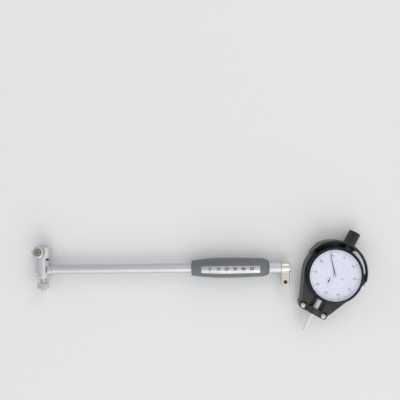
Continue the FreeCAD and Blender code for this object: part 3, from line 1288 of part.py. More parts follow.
def guard_unit():
    """All pieces of the guard, in the guard frame."""
    return {
        "guard_body": guard_body(),
        "guard_strap": guard_strap(),
        "guard_screws": guard_screws(),
    }


def placed():
    """Every piece in the stem frame."""
    pieces = dict(stem_unit())
    dial_place = Placement(Vector(DIAL_X, DIAL_Y, 0), Rotation(Vector(0, 0, 1), -DIAL_LEAN))
    hoop_hole = Vector(0, HOOP_CENTRE_Y + HOOP_RADIUS, 0)
    guard_place = dial_place.multiply(
        Placement(Vector(0, 0, 0), Rotation(Vector(0, 0, 1), -GUARD_LEAN), hoop_hole))
    for name, shape in dial_unit().items():
        pieces[name] = located(shape, dial_place)
    for name, shape in guard_unit().items():
        pieces[name] = located(shape, guard_place)
    return pieces


def located(shape, place):
    """A copy of the shape, brought into place."""
    copy = shape.copy()
    copy.Placement = place.multiply(copy.Placement)
    return copy


def origin_shift(pieces):
    """Shift that puts the origin under the middle of the whole gauge, on the surface."""
    box = FreeCAD.BoundBox()
    for shape in pieces.values():
        box.add(shape.optimalBoundingBox(False))
    return Vector(-box.Center.x, -box.Center.y, -box.ZMin)


def main():
    """Write every piece to its own file."""
    os.makedirs("parts", exist_ok=True)
    pieces = placed()
    shift = origin_shift(pieces)
    for name, shape in pieces.items():
        shape.translate(shift)
        shape.exportStep(os.path.join("parts", name + ".step"))
        if not shape.isValid():
            print("not valid:", name)
    print(len(pieces), "pieces, shifted by", [round(value, 4) for value in shift])


main()
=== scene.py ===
"""Looks of a dial bore gauge, laid out in its two halves: the measuring head on
its tube with the grip, and the dial indicator in its guard."""
import json
import logging
import math
from collections.abc import Iterator
from contextlib import contextmanager
from dataclasses import dataclass, field
from enum import Enum

import bpy
from mathutils import Matrix, Vector


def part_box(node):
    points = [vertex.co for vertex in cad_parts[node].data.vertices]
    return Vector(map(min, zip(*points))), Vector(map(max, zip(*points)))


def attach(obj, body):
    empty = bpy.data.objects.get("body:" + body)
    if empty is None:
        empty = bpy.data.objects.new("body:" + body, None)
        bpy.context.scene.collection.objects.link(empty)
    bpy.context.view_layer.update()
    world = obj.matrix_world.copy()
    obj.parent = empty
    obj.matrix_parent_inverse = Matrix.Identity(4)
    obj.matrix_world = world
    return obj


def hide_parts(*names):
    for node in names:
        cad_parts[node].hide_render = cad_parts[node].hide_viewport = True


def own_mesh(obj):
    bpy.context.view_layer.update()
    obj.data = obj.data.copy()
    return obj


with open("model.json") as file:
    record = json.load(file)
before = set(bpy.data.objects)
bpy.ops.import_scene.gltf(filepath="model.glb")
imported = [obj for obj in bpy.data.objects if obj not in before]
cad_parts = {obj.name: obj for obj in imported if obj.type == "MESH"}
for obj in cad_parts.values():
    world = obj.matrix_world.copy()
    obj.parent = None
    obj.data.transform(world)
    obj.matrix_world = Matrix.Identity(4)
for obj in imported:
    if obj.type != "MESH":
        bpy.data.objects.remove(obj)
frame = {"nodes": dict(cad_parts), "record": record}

LOG = logging.getLogger("bore_gauge")
MM = 0.001
FULL = (0.0, 1.0)

Colour = tuple[float, float, float]
Point = tuple[float, float, float]
Piece = bpy.types.Object
Node = bpy.types.Node
Tree = bpy.types.NodeTree
Socket = bpy.types.NodeSocket


class Edge(Enum):
    """How far an edge is rounded to the eye, in millimetres."""

    SHARP = 0.08
    MACHINED = 0.18
    CAST = 0.45


class Body(Enum):
    """The bodies that the new pieces ride on."""

    ROOT = "root"
    BEZEL = "bezel"
    MAIN_HAND = "centre"
    SMALL_HAND = "rack_shaft"
    WHEEL_NEAR = "wheel_near"
    WHEEL_FAR = "wheel_far"


@dataclass(frozen=True)
class Seat:
    """A place on the layout: an origin and a turn about the upright axis."""

    origin: Point
    lean: float = 0.0

    def matrix(self) -> Matrix:
        """Matrix from the seat's own millimetres to the row's metres."""
        spot = Matrix.Translation(Vector(self.origin) * MM)
        turn = Matrix.Rotation(math.radians(-self.lean), 4, "Z")
        return spot @ turn @ Matrix.Scale(MM, 4)


def middle(node: str) -> Vector:
    """Middle of a carried-over solid, in millimetres."""
    low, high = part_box(node)
    return (Vector(low) + Vector(high)) / 2 / MM


AXIS = middle("tube")
STEM = Seat((middle("lock_nut").x, AXIS.y, AXIS.z))
DIAL = Seat((middle("crystal").x, middle("crystal").y, AXIS.z), lean=28.5)


NODE_FINISHES = {
    "head_body": "head_steel", "guide_sleeve": "head_steel", "spindle_cap": "cap_black_and_bush_shade",
    # The top bush wears the cap's black, which partly paints in the shade it sits in between the
    # hoop and the bezel.
    "top_bush": "cap_black_and_bush_shade", "wheel_pin_near": "pin_bronze", "wheel_pin_far": "pin_bronze",
    "contact_point": "probe_steel", "spindle": "probe_steel",
}


class NodeKit:
    """Short ways of laying nodes in a material or a group."""

    MIX_INPUTS = (0, 6, 7)
    MIX_RESULT = 2
    RANGE_ENDS = slice(1, 5)

    def __init__(self, tree: Tree) -> None:
        """Keep the tree that the nodes go into."""
        self.tree = tree

    def add(self, kind: str, **settings: object) -> Node:
        """Add one node.

        Args:
            kind: Blender's name of the node type.
            settings: properties of the node, set as they are given.

        Returns:
            The new node.
        """
        node = self.tree.nodes.new(kind)
        for name, value in settings.items():
            setattr(node, name, value)
        return node

    def wire(self, start: Socket, end: Socket) -> None:
        """Join two sockets."""
        self.tree.links.new(start, end)

    def feed(self, socket: Socket, value: object) -> None:
        """Set a socket to a number or a colour, or wire another socket to it."""
        if isinstance(value, Socket):
            self.wire(value, socket)
        else:
            socket.default_value = (*value, 1.0) if isinstance(value, tuple) else value

    def maths(self, step: str, first: object, second: object = 0.0) -> Socket:
        """One step of arithmetic.

        Args:
            step: the operation's name.
            first: a number or a socket.
            second: a number or a socket.

        Returns:
            The socket with the result.
        """
        node = self.add("ShaderNodeMath", operation=step)
        for socket, value in zip(node.inputs, (first, second)):
            self.feed(socket, value)
        return node.outputs[0]

    def blend(self, factor: object, low: object, high: object) -> Socket:
        """Mix two colours.

        Args:
            factor: a number or a socket, 0 for low and 1 for high.
            low: a colour or a socket.
            high: a colour or a socket.

        Returns:
            The socket with the mixed colour.
        """
        node = self.add("ShaderNodeMix", data_type="RGBA", clamp_factor=True)
        for index, value in zip(self.MIX_INPUTS, (factor, low, high)):
            self.feed(node.inputs[index], value)
        return node.outputs[self.MIX_RESULT]

    def span(self, value: Socket, before: tuple[float, float],
             after: tuple[float, float]) -> Socket:
        """Stretch a value from one span to another, held at its ends.

        Args:
            value: the socket to read.
            before: lowest and highest value that comes in.
            after: the values that those two become.

        Returns:
            The socket with the result.
        """
        node = self.add("ShaderNodeMapRange", clamp=True)
        self.wire(value, node.inputs[0])
        for socket, number in zip(node.inputs[self.RANGE_ENDS], (*before, *after)):
            socket.default_value = number
        return node.outputs[0]

    def noise(self, vector: Socket, **settings: float) -> Node:
        """Add solid noise.

        Args:
            vector: the socket that says where it is read.
            settings: its other inputs by name.

        Returns:
            The noise node.
        """
        node = self.add("ShaderNodeTexNoise", noise_dimensions="3D")
        self.wire(vector, node.inputs["Vector"])
        for label, value in settings.items():
            node.inputs[label].default_value = value
        return node


class SharedEffects:
    """The effects that several finishes use, each one a node group."""

    EDGE_RADIUS = 0.2 * MM
    EDGE_SAMPLES = 4
    EDGE_SPAN = (0.98, 0.86)
    MOTTLE_SPAN = (0.35, 0.65)
    STREAK_SPAN = (0.3, 0.7)
    PATCH_SPAN = (0.42, 0.68)
    SPECK_SPAN = (0.66, 0.72)

    def __init__(self) -> None:
        """Build every group once."""
        self.edges = self._edges()
        self.grain = self._grain()
        self.turning = self._turning()
        self.handling = self._handling()

    def _group(self, name: str, inputs: dict[str, float],
               outputs: dict[str, str]) -> tuple[NodeKit, dict, dict]:
        """Start a node group.

        Args:
            name: the group's name.
            inputs: each number that it takes, with its usual value.
            outputs: each thing that it gives, with its socket type.
        """
        tree = bpy.data.node_groups.new(name, "ShaderNodeTree")
        for label, value in inputs.items():
            socket = tree.interface.new_socket(label, in_out="INPUT", socket_type="NodeSocketFloat")
            socket.default_value = value
        for label, kind in outputs.items():
            tree.interface.new_socket(label, in_out="OUTPUT", socket_type=kind)
        kit = NodeKit(tree)
        way_in, way_out = kit.add("NodeGroupInput"), kit.add("NodeGroupOutput")
        return kit, {s.name: s for s in way_in.outputs}, {s.name: s for s in way_out.inputs}

    def _edges(self) -> Tree:
        """Rounded edges for the light, and a mask of where they are."""
        kit, take, give = self._group("soft_edges", {"Radius": self.EDGE_RADIUS},
                                      {"Normal": "NodeSocketVector", "Edge": "NodeSocketFloat"})
        bevel = kit.add("ShaderNodeBevel", samples=self.EDGE_SAMPLES)
        kit.wire(take["Radius"], bevel.inputs["Radius"])
        plain = kit.add("ShaderNodeNewGeometry")
        dot = kit.add("ShaderNodeVectorMath", operation="DOT_PRODUCT")
        kit.wire(bevel.outputs[0], dot.inputs[0])
        kit.wire(plain.outputs["Normal"], dot.inputs[1])
        kit.wire(kit.span(dot.outputs["Value"], self.EDGE_SPAN, FULL), give["Edge"])
        kit.wire(bevel.outputs[0], give["Normal"])
        return kit.tree

    def _grain(self) -> Tree:
        """Fine even grain of a moulded, cast or painted surface."""
        kit, take, give = self._group("fine_grain", {"Scale": 900.0, "Depth": 0.5},
                                      {"Height": "NodeSocketFloat", "Mottle": "NodeSocketFloat"})
        place = kit.add("ShaderNodeTexCoord").outputs["Object"]
        fine = kit.noise(place, Detail=3.0)
        broad = kit.noise(place, Scale=90.0, Detail=2.0)
        kit.wire(take["Scale"], fine.inputs["Scale"])
        kit.wire(kit.maths("MULTIPLY", fine.outputs[0], take["Depth"]), give["Height"])
        kit.wire(kit.span(broad.outputs[0], self.MOTTLE_SPAN, FULL), give["Mottle"])
        return kit.tree

    def _turning(self) -> Tree:
        """Fine lines that turning or grinding leaves, close along one direction."""
        kit, take, give = self._group(
            "turning_lines", {"Along X": 1.0, "Along Y": 1.0, "Along Z": 1.0, "Depth": 0.4},
            {"Height": "NodeSocketFloat", "Streak": "NodeSocketFloat"})
        place = kit.add("ShaderNodeTexCoord").outputs["Object"]
        scale = kit.add("ShaderNodeCombineXYZ")
        for label, socket in zip(("Along X", "Along Y", "Along Z"), scale.inputs):
            kit.wire(take[label], socket)
        stretch = kit.add("ShaderNodeVectorMath", operation="MULTIPLY")
        kit.wire(place, stretch.inputs[0])
        kit.wire(scale.outputs[0], stretch.inputs[1])
        lines = kit.noise(stretch.outputs[0], Scale=1.0, Detail=4.0, Roughness=0.65)
        kit.wire(kit.maths("MULTIPLY", lines.outputs[0], take["Depth"]), give["Height"])
        kit.wire(kit.span(lines.outputs[0], self.STREAK_SPAN, FULL), give["Streak"])
        return kit.tree

    def _handling(self) -> Tree:
        """Faint patches where hands and cloths have been, and a few specks."""
        kit, take, give = self._group("handling_marks", {"Amount": 0.5},
                                      {"Patch": "NodeSocketFloat", "Speck": "NodeSocketFloat"})
        place = kit.add("ShaderNodeTexCoord").outputs["Object"]
        patch = kit.noise(place, Scale=45.0, Detail=3.0, Distortion=0.6)
        speck = kit.noise(place, Scale=1400.0, Detail=1.0)
        soft = kit.span(patch.outputs[0], self.PATCH_SPAN, FULL)
        kit.wire(kit.maths("MULTIPLY", soft, take["Amount"]), give["Patch"])
        sparse = kit.span(speck.outputs[0], self.SPECK_SPAN, FULL)
        kit.wire(kit.maths("MULTIPLY", sparse, take["Amount"]), give["Speck"])
        return kit.tree


@dataclass(frozen=True)
class Finish:
    """What every finish has: the record's slot, a colour and an edge."""

    slot: str
    colour: Colour
    roughness: float
    edge: Edge = Edge.MACHINED
    specular: float = 0.5

    def material(self, name: str, effects: SharedEffects) -> bpy.types.Material:
        """Build the material.

        Args:
            name: the material's name.
            effects: the shared effects.

        Returns:
            The finished material.
        """
        material = bpy.data.materials.new(name)
        material.use_nodes = True
        shader = material.node_tree.nodes["Principled BSDF"]
        shader.inputs["Roughness"].default_value = self.roughness
        shader.inputs["Base Color"].default_value = (*self.colour, 1.0)
        shader.inputs["Specular IOR Level"].default_value = self.specular
        self.lay(NodeKit(material.node_tree), shader, effects)
        return material

    def lay(self, kit: NodeKit, shader: Node, effects: SharedEffects) -> None:
        """Lay the nodes of this kind of finish.

        Args:
            kit: the material's nodes.
            shader: its Principled shader.
            effects: the shared effects.
        """
        raise NotImplementedError

    def placed(self, kit: NodeKit, group: Tree, **values: float) -> dict:
        """Put a shared effect in the material.

        Args:
            kit: the material's nodes.
            group: the shared effect.
            values: its numbers in this finish, spaces written as underscores.

        Returns:
            Its output sockets by name.
        """
        node = kit.add("ShaderNodeGroup", node_tree=group)
        for label, value in values.items():
            node.inputs[label.replace("_", " ")].default_value = value
        return {s.name: s for s in node.outputs}

    def relief(self, kit: NodeKit, shader: Node, height: Socket,
               depth: float, normal: Socket) -> None:
        """Feed the shader's normal.

        Args:
            kit: the material's nodes.
            shader: its Principled shader.
            height: the height of the relief.
            depth: how deep the relief is, in millimetres.
            normal: the normal that it stands on.
        """
        bump = kit.add("ShaderNodeBump")
        bump.inputs["Strength"].default_value = 1.0
        bump.inputs["Distance"].default_value = depth * MM
        kit.wire(height, bump.inputs["Height"])
        kit.wire(normal, bump.inputs["Normal"])
        kit.wire(bump.outputs[0], shader.inputs["Normal"])


@dataclass(frozen=True)
class Metal(Finish):
    """Bare or plated metal with the lines that its making left."""

    DULLING = 2.2
    PATCH_TONE = 0.86
    PATCH_ROUGHNESS = 0.12

    # Lighter colour of the edges: partly wear, partly a painted edge highlight.
    worn: Colour = (0.9, 0.9, 0.9)
    streak: float = 0.08
    lines: Point = (700.0, 700.0, 700.0)
    depth: float = 0.0006
    handled: float = 0.4

    def lay(self, kit: NodeKit, shader: Node, effects: SharedEffects) -> None:
        """Lay drawn lines, handling marks, and worn edges whose lighter colour is partly a painted
        highlight.
        """
        shader.inputs["Metallic"].default_value = 1.0
        edges = self.placed(kit, effects.edges, Radius=self.edge.value * MM)
        lines = self.placed(kit, effects.turning, Along_X=self.lines[0], Along_Y=self.lines[1],
                            Along_Z=self.lines[2], Depth=1.0)
        marks = self.placed(kit, effects.handling, Amount=self.handled)
        dull = tuple(c * (1 - self.DULLING * self.streak) for c in self.colour)
        tone = kit.blend(lines["Streak"], dull, self.colour)
        tone = kit.blend(marks["Patch"], tone, tuple(c * self.PATCH_TONE for c in self.colour))
        # Edges blend towards the worn colour, wear and a painted edge highlight both.
        kit.wire(kit.blend(edges["Edge"], tone, self.worn), shader.inputs["Base Color"])
        dull_to_bright = (self.roughness + self.streak, self.roughness - self.streak / 2)
        rough = kit.span(lines["Streak"], FULL, dull_to_bright)
        smudge = kit.maths("MULTIPLY", marks["Patch"], self.PATCH_ROUGHNESS)
        rough = kit.maths("ADD", rough, smudge)
        kit.wire(rough, shader.inputs["Roughness"])
        self.relief(kit, shader, lines["Height"], self.depth, edges["Normal"])


@dataclass(frozen=True)
class Paint(Finish):
    """Satin paint, oxide or moulding with a fine grain and rubbed edges."""

    SPECK_TONE = 0.25
    MOTTLE_ROUGHNESS = 0.05
    PATCH_POLISH = 0.08

    rubbed: Colour = (0.2, 0.2, 0.2)
    rub: float = 0.5
    grain: float = 900.0
    depth: float = 0.01
    mottle: float = 0.1
    handled: float = 0.5

    def lay(self, kit: NodeKit, shader: Node, effects: SharedEffects) -> None:
        """Lay grain, mottle, specks and rubbed edges."""
        edges = self.placed(kit, effects.edges, Radius=self.edge.value * MM)
        grain = self.placed(kit, effects.grain, Scale=self.grain, Depth=1.0)
        marks = self.placed(kit, effects.handling, Amount=self.handled)
        light = tuple(c * (1 + self.mottle) for c in self.colour)
        dark = tuple(c * (1 - self.mottle) for c in self.colour)
        tone = kit.blend(grain["Mottle"], dark, light)
        tone = kit.blend(kit.maths("MULTIPLY", edges["Edge"], self.rub), tone, self.rubbed)
        specks = kit.maths("MULTIPLY", marks["Speck"], self.SPECK_TONE)
        tone = kit.blend(specks, tone, self.rubbed)
        kit.wire(tone, shader.inputs["Base Color"])
        smooth_to_rough = (self.roughness - self.MOTTLE_ROUGHNESS,
                           self.roughness + self.MOTTLE_ROUGHNESS)
        rough = kit.span(grain["Mottle"], FULL, smooth_to_rough)
        polish = kit.maths("MULTIPLY", marks["Patch"], self.PATCH_POLISH)
        rough = kit.maths("SUBTRACT", rough, polish)
        kit.wire(rough, shader.inputs["Roughness"])
        self.relief(kit, shader, grain["Height"], self.depth, edges["Normal"])


@dataclass(frozen=True)
class Glass(Finish):
    """Clear crystal."""

    REFRACTION = 1.45
    SMUDGES = 0.3
    SMUDGE_ROUGHNESS = (0.0, 0.04)

    def lay(self, kit: NodeKit, shader: Node, effects: SharedEffects) -> None:
        """Lay clear glass with faint smudges."""
        shader.inputs["Transmission Weight"].default_value = 1.0
        shader.inputs["IOR"].default_value = self.REFRACTION
        marks = self.placed(kit, effects.handling, Amount=self.SMUDGES)
        rough = kit.span(marks["Patch"], FULL, self.SMUDGE_ROUGHNESS)
        kit.wire(rough, shader.inputs["Roughness"])


class Workshop:
    """Blender's modelling tools: every new piece is made and set in place here."""

    SAME_RADIUS = 1e-9
    MERGE = 1e-6
    UPRIGHT = 0.99
    CAPITAL_SHARE = 0.7
    LETTER_CURVE_STEPS = 4

    @staticmethod
    def clear() -> None:
        """Leave edit mode and deselect everything."""
        if bpy.context.object and bpy.context.object.mode != "OBJECT":
            bpy.ops.object.mode_set(mode="OBJECT")
        bpy.ops.object.select_all(action="DESELECT")

    @staticmethod
    @contextmanager
    def editing() -> Iterator[None]:
        """Edit the active piece with its whole mesh selected, then leave edit mode."""
        bpy.ops.object.mode_set(mode="EDIT")
        bpy.ops.mesh.select_all(action="SELECT")
        yield
        bpy.ops.object.mode_set(mode="OBJECT")

    @classmethod
    def only(cls, piece: Piece) -> Piece:
        """Select one piece and nothing else."""
        cls.clear()
        piece.select_set(True)
        bpy.context.view_layer.objects.active = piece
        return piece

    @classmethod
    def seated(cls, piece: Piece, place: Matrix) -> Piece:
        """Set a piece in the row's frame, with its place in its mesh.

        Args:
            piece: the piece, modelled about its own origin.
            place: matrix from its own frame to the row's.

        Returns:
            The same piece, at the origin and unturned.
        """
        cls.only(piece)
        piece.matrix_world = place @ piece.matrix_world
        bpy.ops.object.transform_apply(location=True, rotation=True, scale=True)
        return piece

    @classmethod
    def turned(cls, name: str, profile: list[tuple[float, float]], sides: int = 96,
               ring: bool = False) -> Piece:
        """Turn a piece about its Z axis, one extrusion for each station.

        Args:
            name: the piece's name.
            profile: stations and radii in order, in millimetres.
            sides: how many sides the circle has.
            ring: True for a hollow ring whose profile closes on itself.

        Returns:
            The piece, in millimetres about its own origin.
        """
        cls.clear()
        station, radius = profile[0]
        bpy.ops.mesh.primitive_circle_add(
            vertices=sides, radius=radius, location=(0, 0, station),
            fill_type="NOTHING" if ring else "NGON")
        piece = bpy.context.object
        piece.name = piece.data.name = name
        stops = profile[1:] + (profile[:1] if ring else [])
        with cls.editing():
            for following, reach in stops:
                bpy.ops.mesh.extrude_region_move(
                    TRANSFORM_OT_translate={"value": (0, 0, following - station)})
                factor = reach / radius
                if abs(factor - 1) > cls.SAME_RADIUS:
                    bpy.ops.transform.resize(value=(factor, factor, 1),
                                             center_override=(0, 0, 0))
                station, radius = following, reach
            bpy.ops.mesh.select_all(action="SELECT")
            bpy.ops.mesh.remove_doubles(threshold=cls.MERGE)
            bpy.ops.mesh.normals_make_consistent(inside=False)
        return piece

    @classmethod
    def plate(cls, name: str, size: Point, centre: Point) -> Piece:
        """Start a piece from a block.

        Args:
            name: the piece's name.
            size: its length along X, Y and Z, in millimetres.
            centre: its middle, in millimetres.

        Returns:
            The block.
        """
        cls.clear()
        bpy.ops.mesh.primitive_cube_add(size=1, location=centre, scale=size)
        piece = bpy.context.object
        piece.name = piece.data.name = name
        bpy.ops.object.transform_apply(location=True, rotation=True, scale=True)
        return piece

    @classmethod
    def rounded(cls, piece: Piece, radius: float, segments: int = 2) -> Piece:
        """Round a block's upright edges.

        Args:
            piece: the block.
            radius: how far each edge is cut back, in the block's own unit.
            segments: how many faces the rounding has.

        Returns:
            The same piece.
        """
        cls.only(piece)
        bpy.ops.object.mode_set(mode="EDIT")
        bpy.ops.mesh.select_mode(type="EDGE")
        bpy.ops.mesh.select_all(action="DESELECT")
        bpy.ops.object.mode_set(mode="OBJECT")
        for edge in piece.data.edges:
            start, end = (piece.data.vertices[index].co for index in edge.vertices)
            edge.select = abs((end - start).normalized().z) > cls.UPRIGHT
        bpy.ops.object.mode_set(mode="EDIT")
        bpy.ops.mesh.bevel(offset=radius, segments=segments)
        bpy.ops.mesh.select_mode(type="VERT")
        bpy.ops.object.mode_set(mode="OBJECT")
        return piece

    @classmethod
    def copied(cls, piece: Piece, place: Matrix) -> Piece:
        """Copy a piece, mesh and all, and set the copy in place."""
        twin = piece.copy()
        twin.data = piece.data.copy()
        bpy.context.scene.collection.objects.link(twin)
        return cls.seated(twin, place)

    @classmethod
    def discard(cls, pieces: list[Piece]) -> None:
        """Take away the patterns that copies were made from."""
        for piece in pieces:
            bpy.data.objects.remove(piece, do_unlink=True)

    @classmethod
    def apply(cls, piece: Piece, kind: str, **settings: object) -> Piece:
        """Add one modifier and apply it.

        Args:
            piece: the piece.
            kind: the modifier's type.
            settings: its properties.

        Returns:
            The same piece.
        """
        cls.only(piece)
        modifier = piece.modifiers.new(kind.title(), kind)
        for label, value in settings.items():
            setattr(modifier, label, value)
        bpy.ops.object.modifier_apply(modifier=modifier.name)
        return piece

    @classmethod
    def smooth(cls, piece: Piece, angle: float = 30.0) -> Piece:
        """Shade a piece smooth where it turns by less than an angle in degrees."""
        cls.only(piece)
        bpy.ops.object.shade_smooth_by_angle(angle=math.radians(angle))
        return piece

    @classmethod
    def joined(cls, name: str, pieces: list[Piece]) -> Piece:
        """Join pieces into one.

        Args:
            name: the name of the whole.
            pieces: the pieces, each with its own mesh.

        Returns:
            The joined piece.
        """
        cls.clear()
        for piece in pieces:
            piece.select_set(True)
        bpy.context.view_layer.objects.active = pieces[0]
        bpy.ops.object.join()
        whole = bpy.context.object
        whole.name = whole.data.name = name
        return whole

    @classmethod
    def lettered(cls, name: str, text: str, height: float, depth: float, place: Matrix,
                 bold: float = 0.0) -> Piece:
        """Print a number as thin raised ink.

        Args:
            name: the piece's name.
            text: the characters.
            height: their height, in millimetres.
            depth: how thick the ink is, in millimetres.
            place: where the middle of the text goes, in the seat's frame.
            bold: how much wider each stroke grows on each side, in millimetres.

        Returns:
            The number as a mesh.
        """
        cls.clear()
        bpy.ops.object.text_add()
        piece = bpy.context.object
        piece.data.body = text
        piece.data.size = height / cls.CAPITAL_SHARE
        piece.data.align_x = "CENTER"
        piece.data.align_y = "CENTER"
        piece.data.extrude = depth / 2
        piece.data.offset = bold
        piece.data.resolution_u = cls.LETTER_CURVE_STEPS
        bpy.ops.object.convert(target="MESH")
        piece = bpy.context.object
        piece.name = piece.data.name = name
        return cls.seated(piece, place)


GROUND_X = (2600.0, 160.0, 160.0)
GROUND_Y = (160.0, 2600.0, 160.0)


def ink(slot: str, colour: Colour) -> Paint:
    """Flat printing ink of one colour on what wears a slot."""
    return Paint(slot, colour, 0.5, Edge.SHARP, rub=0.0, grain=1800.0, depth=0.001, mottle=0.02,
                 handled=0.0)


FINISHES: dict[str, Finish] = {
    "satin_steel": Metal("satin_steel", (0.67, 0.66, 0.68), 0.48, worn=(0.78, 0.78, 0.8),
        lines=GROUND_X, streak=0.04),
    "head_steel": Metal("satin_steel", (0.73, 0.73, 0.745), 0.3, worn=(0.86, 0.86, 0.87),
        lines=GROUND_Y, streak=0.05),
    "clamp_steel": Metal("clamp_steel", (0.76, 0.71, 0.63), 0.34, worn=(0.86, 0.82, 0.75),
        lines=(300.0, 1800.0, 300.0), streak=0.06),
    "bright_steel": Metal("bright_steel", (0.66, 0.65, 0.61), 0.24, Edge.SHARP,
        worn=(0.8, 0.79, 0.76), streak=0.03, depth=0.0002, handled=0.2),
    "inner_steel": Metal("inner_steel", (0.42, 0.42, 0.43), 0.34, depth=0.0003),
    "spring_steel": Metal("spring_steel", (0.36, 0.36, 0.37), 0.3, Edge.SHARP, depth=0.0003),
    "gear_brass": Metal("gear_brass", (0.78, 0.6, 0.28), 0.26, Edge.SHARP, worn=(0.9, 0.75, 0.45),
        depth=0.0003),
    "label_foil": Metal("label_foil", (0.58, 0.57, 0.57), 0.4, Edge.SHARP, worn=(0.8, 0.8, 0.8),
        lines=(70.0, 260.0, 70.0), streak=0.03, depth=0.03, handled=0.2),
    "dark_screw": Paint("dark_screw", (0.03, 0.03, 0.03), 0.35, Edge.SHARP,
        rubbed=(0.16, 0.16, 0.16)),
    "grip_grey": Paint("grip_grey", (0.137, 0.149, 0.155), 0.46, rubbed=(0.19, 0.205, 0.21),
        rub=0.3, grain=1500.0, depth=0.012, mottle=0.05),
    "guard_black": Paint("guard_black", (0.024, 0.0245, 0.0265), 0.33, Edge.CAST,
        rubbed=(0.09, 0.1, 0.1), rub=0.3, grain=1100.0, depth=0.012),
    "case_black": Paint("case_black", (0.007, 0.007, 0.009), 0.3, specular=0.28,
        rubbed=(0.06, 0.06, 0.06), rub=0.25, grain=1600.0, depth=0.004),
    # Black of the spindle cap, also worn by the top bush as painted shade.
    "cap_black_and_bush_shade": Paint("case_black", (0.014, 0.0155, 0.016), 0.27, rubbed=(0.09, 0.1, 0.1),
        rub=0.4, grain=1600.0, depth=0.004),
    "dial_white": Paint("dial_white", (0.73, 0.755, 0.875), 0.5, Edge.SHARP,
        rubbed=(0.75, 0.775, 0.89), rub=0.0, grain=1800.0, depth=0.001, mottle=0.01, handled=0.0),
    "hand_black": Paint("hand_black", (0.018, 0.02, 0.032), 0.35, Edge.SHARP,
        rubbed=(0.06, 0.06, 0.08), rub=0.2, grain=1800.0, depth=0.001, handled=0.0),
    "crystal_clear": Glass("crystal_clear", (1.0, 1.0, 1.0), 0.0),
    "print_ink": ink("hand_black", (0.12, 0.125, 0.16)),
    "label_ink": ink("hand_black", (0.03, 0.032, 0.04)),
    "probe_steel": Metal("bright_steel", (0.78, 0.74, 0.71), 0.3, Edge.SHARP,
        worn=(0.84, 0.81, 0.78), streak=0.0, depth=0.0, handled=0.0),
    "print_red": ink("dial_white", (0.42, 0.08, 0.08)),
    "hub_brass": Metal("bright_steel", (0.84, 0.8, 0.72), 0.3, Edge.SHARP, worn=(0.9, 0.87, 0.8),
        depth=0.0002),
    "pin_bronze": Metal("bright_steel", (0.34, 0.25, 0.17), 0.3, Edge.SHARP, worn=(0.5, 0.4, 0.3),
        depth=0.0002),
    # Painted shade: a dark ring in each wheel's groove stands in for the shade there.
    "groove_painted_shade": Paint("dark_screw", (0.09, 0.085, 0.07), 0.5, Edge.SHARP, rub=0.0, grain=1600.0,
        depth=0.001, mottle=0.1),
}


class Wardrobe:
    """The material of every finish, and how pieces put them on."""

    def __init__(self, finishes: dict[str, Finish]) -> None:
        """Keep the finishes and build the material of each."""
        self.finishes = finishes
        effects = SharedEffects()
        self.materials = {name: finish.material("finish_" + name, effects)
                          for name, finish in finishes.items()}

    def dress(self, piece: Piece, finish: str) -> Piece:
        """Give a new piece its finish.

        Args:
            piece: the new piece.
            finish: the finish's name.

        Returns:
            The same piece.
        """
        piece.data.materials.clear()
        piece.data.materials.append(self.materials[finish])
        return piece

    def dress_frame(self, choice: dict[str, str]) -> None:
        """Dress the carried-over solids.

        Args:
            choice: a finish for single nodes that differ from their slot's own.
        """
        slots = {row["node"]: row["material_slot"] for row in frame["record"]["subparts"]}
        for node, solid in frame["nodes"].items():
            worn = self.materials[choice.get(node, slots[node])]
            for index in range(len(solid.material_slots)):
                solid.material_slots[index].material = worn


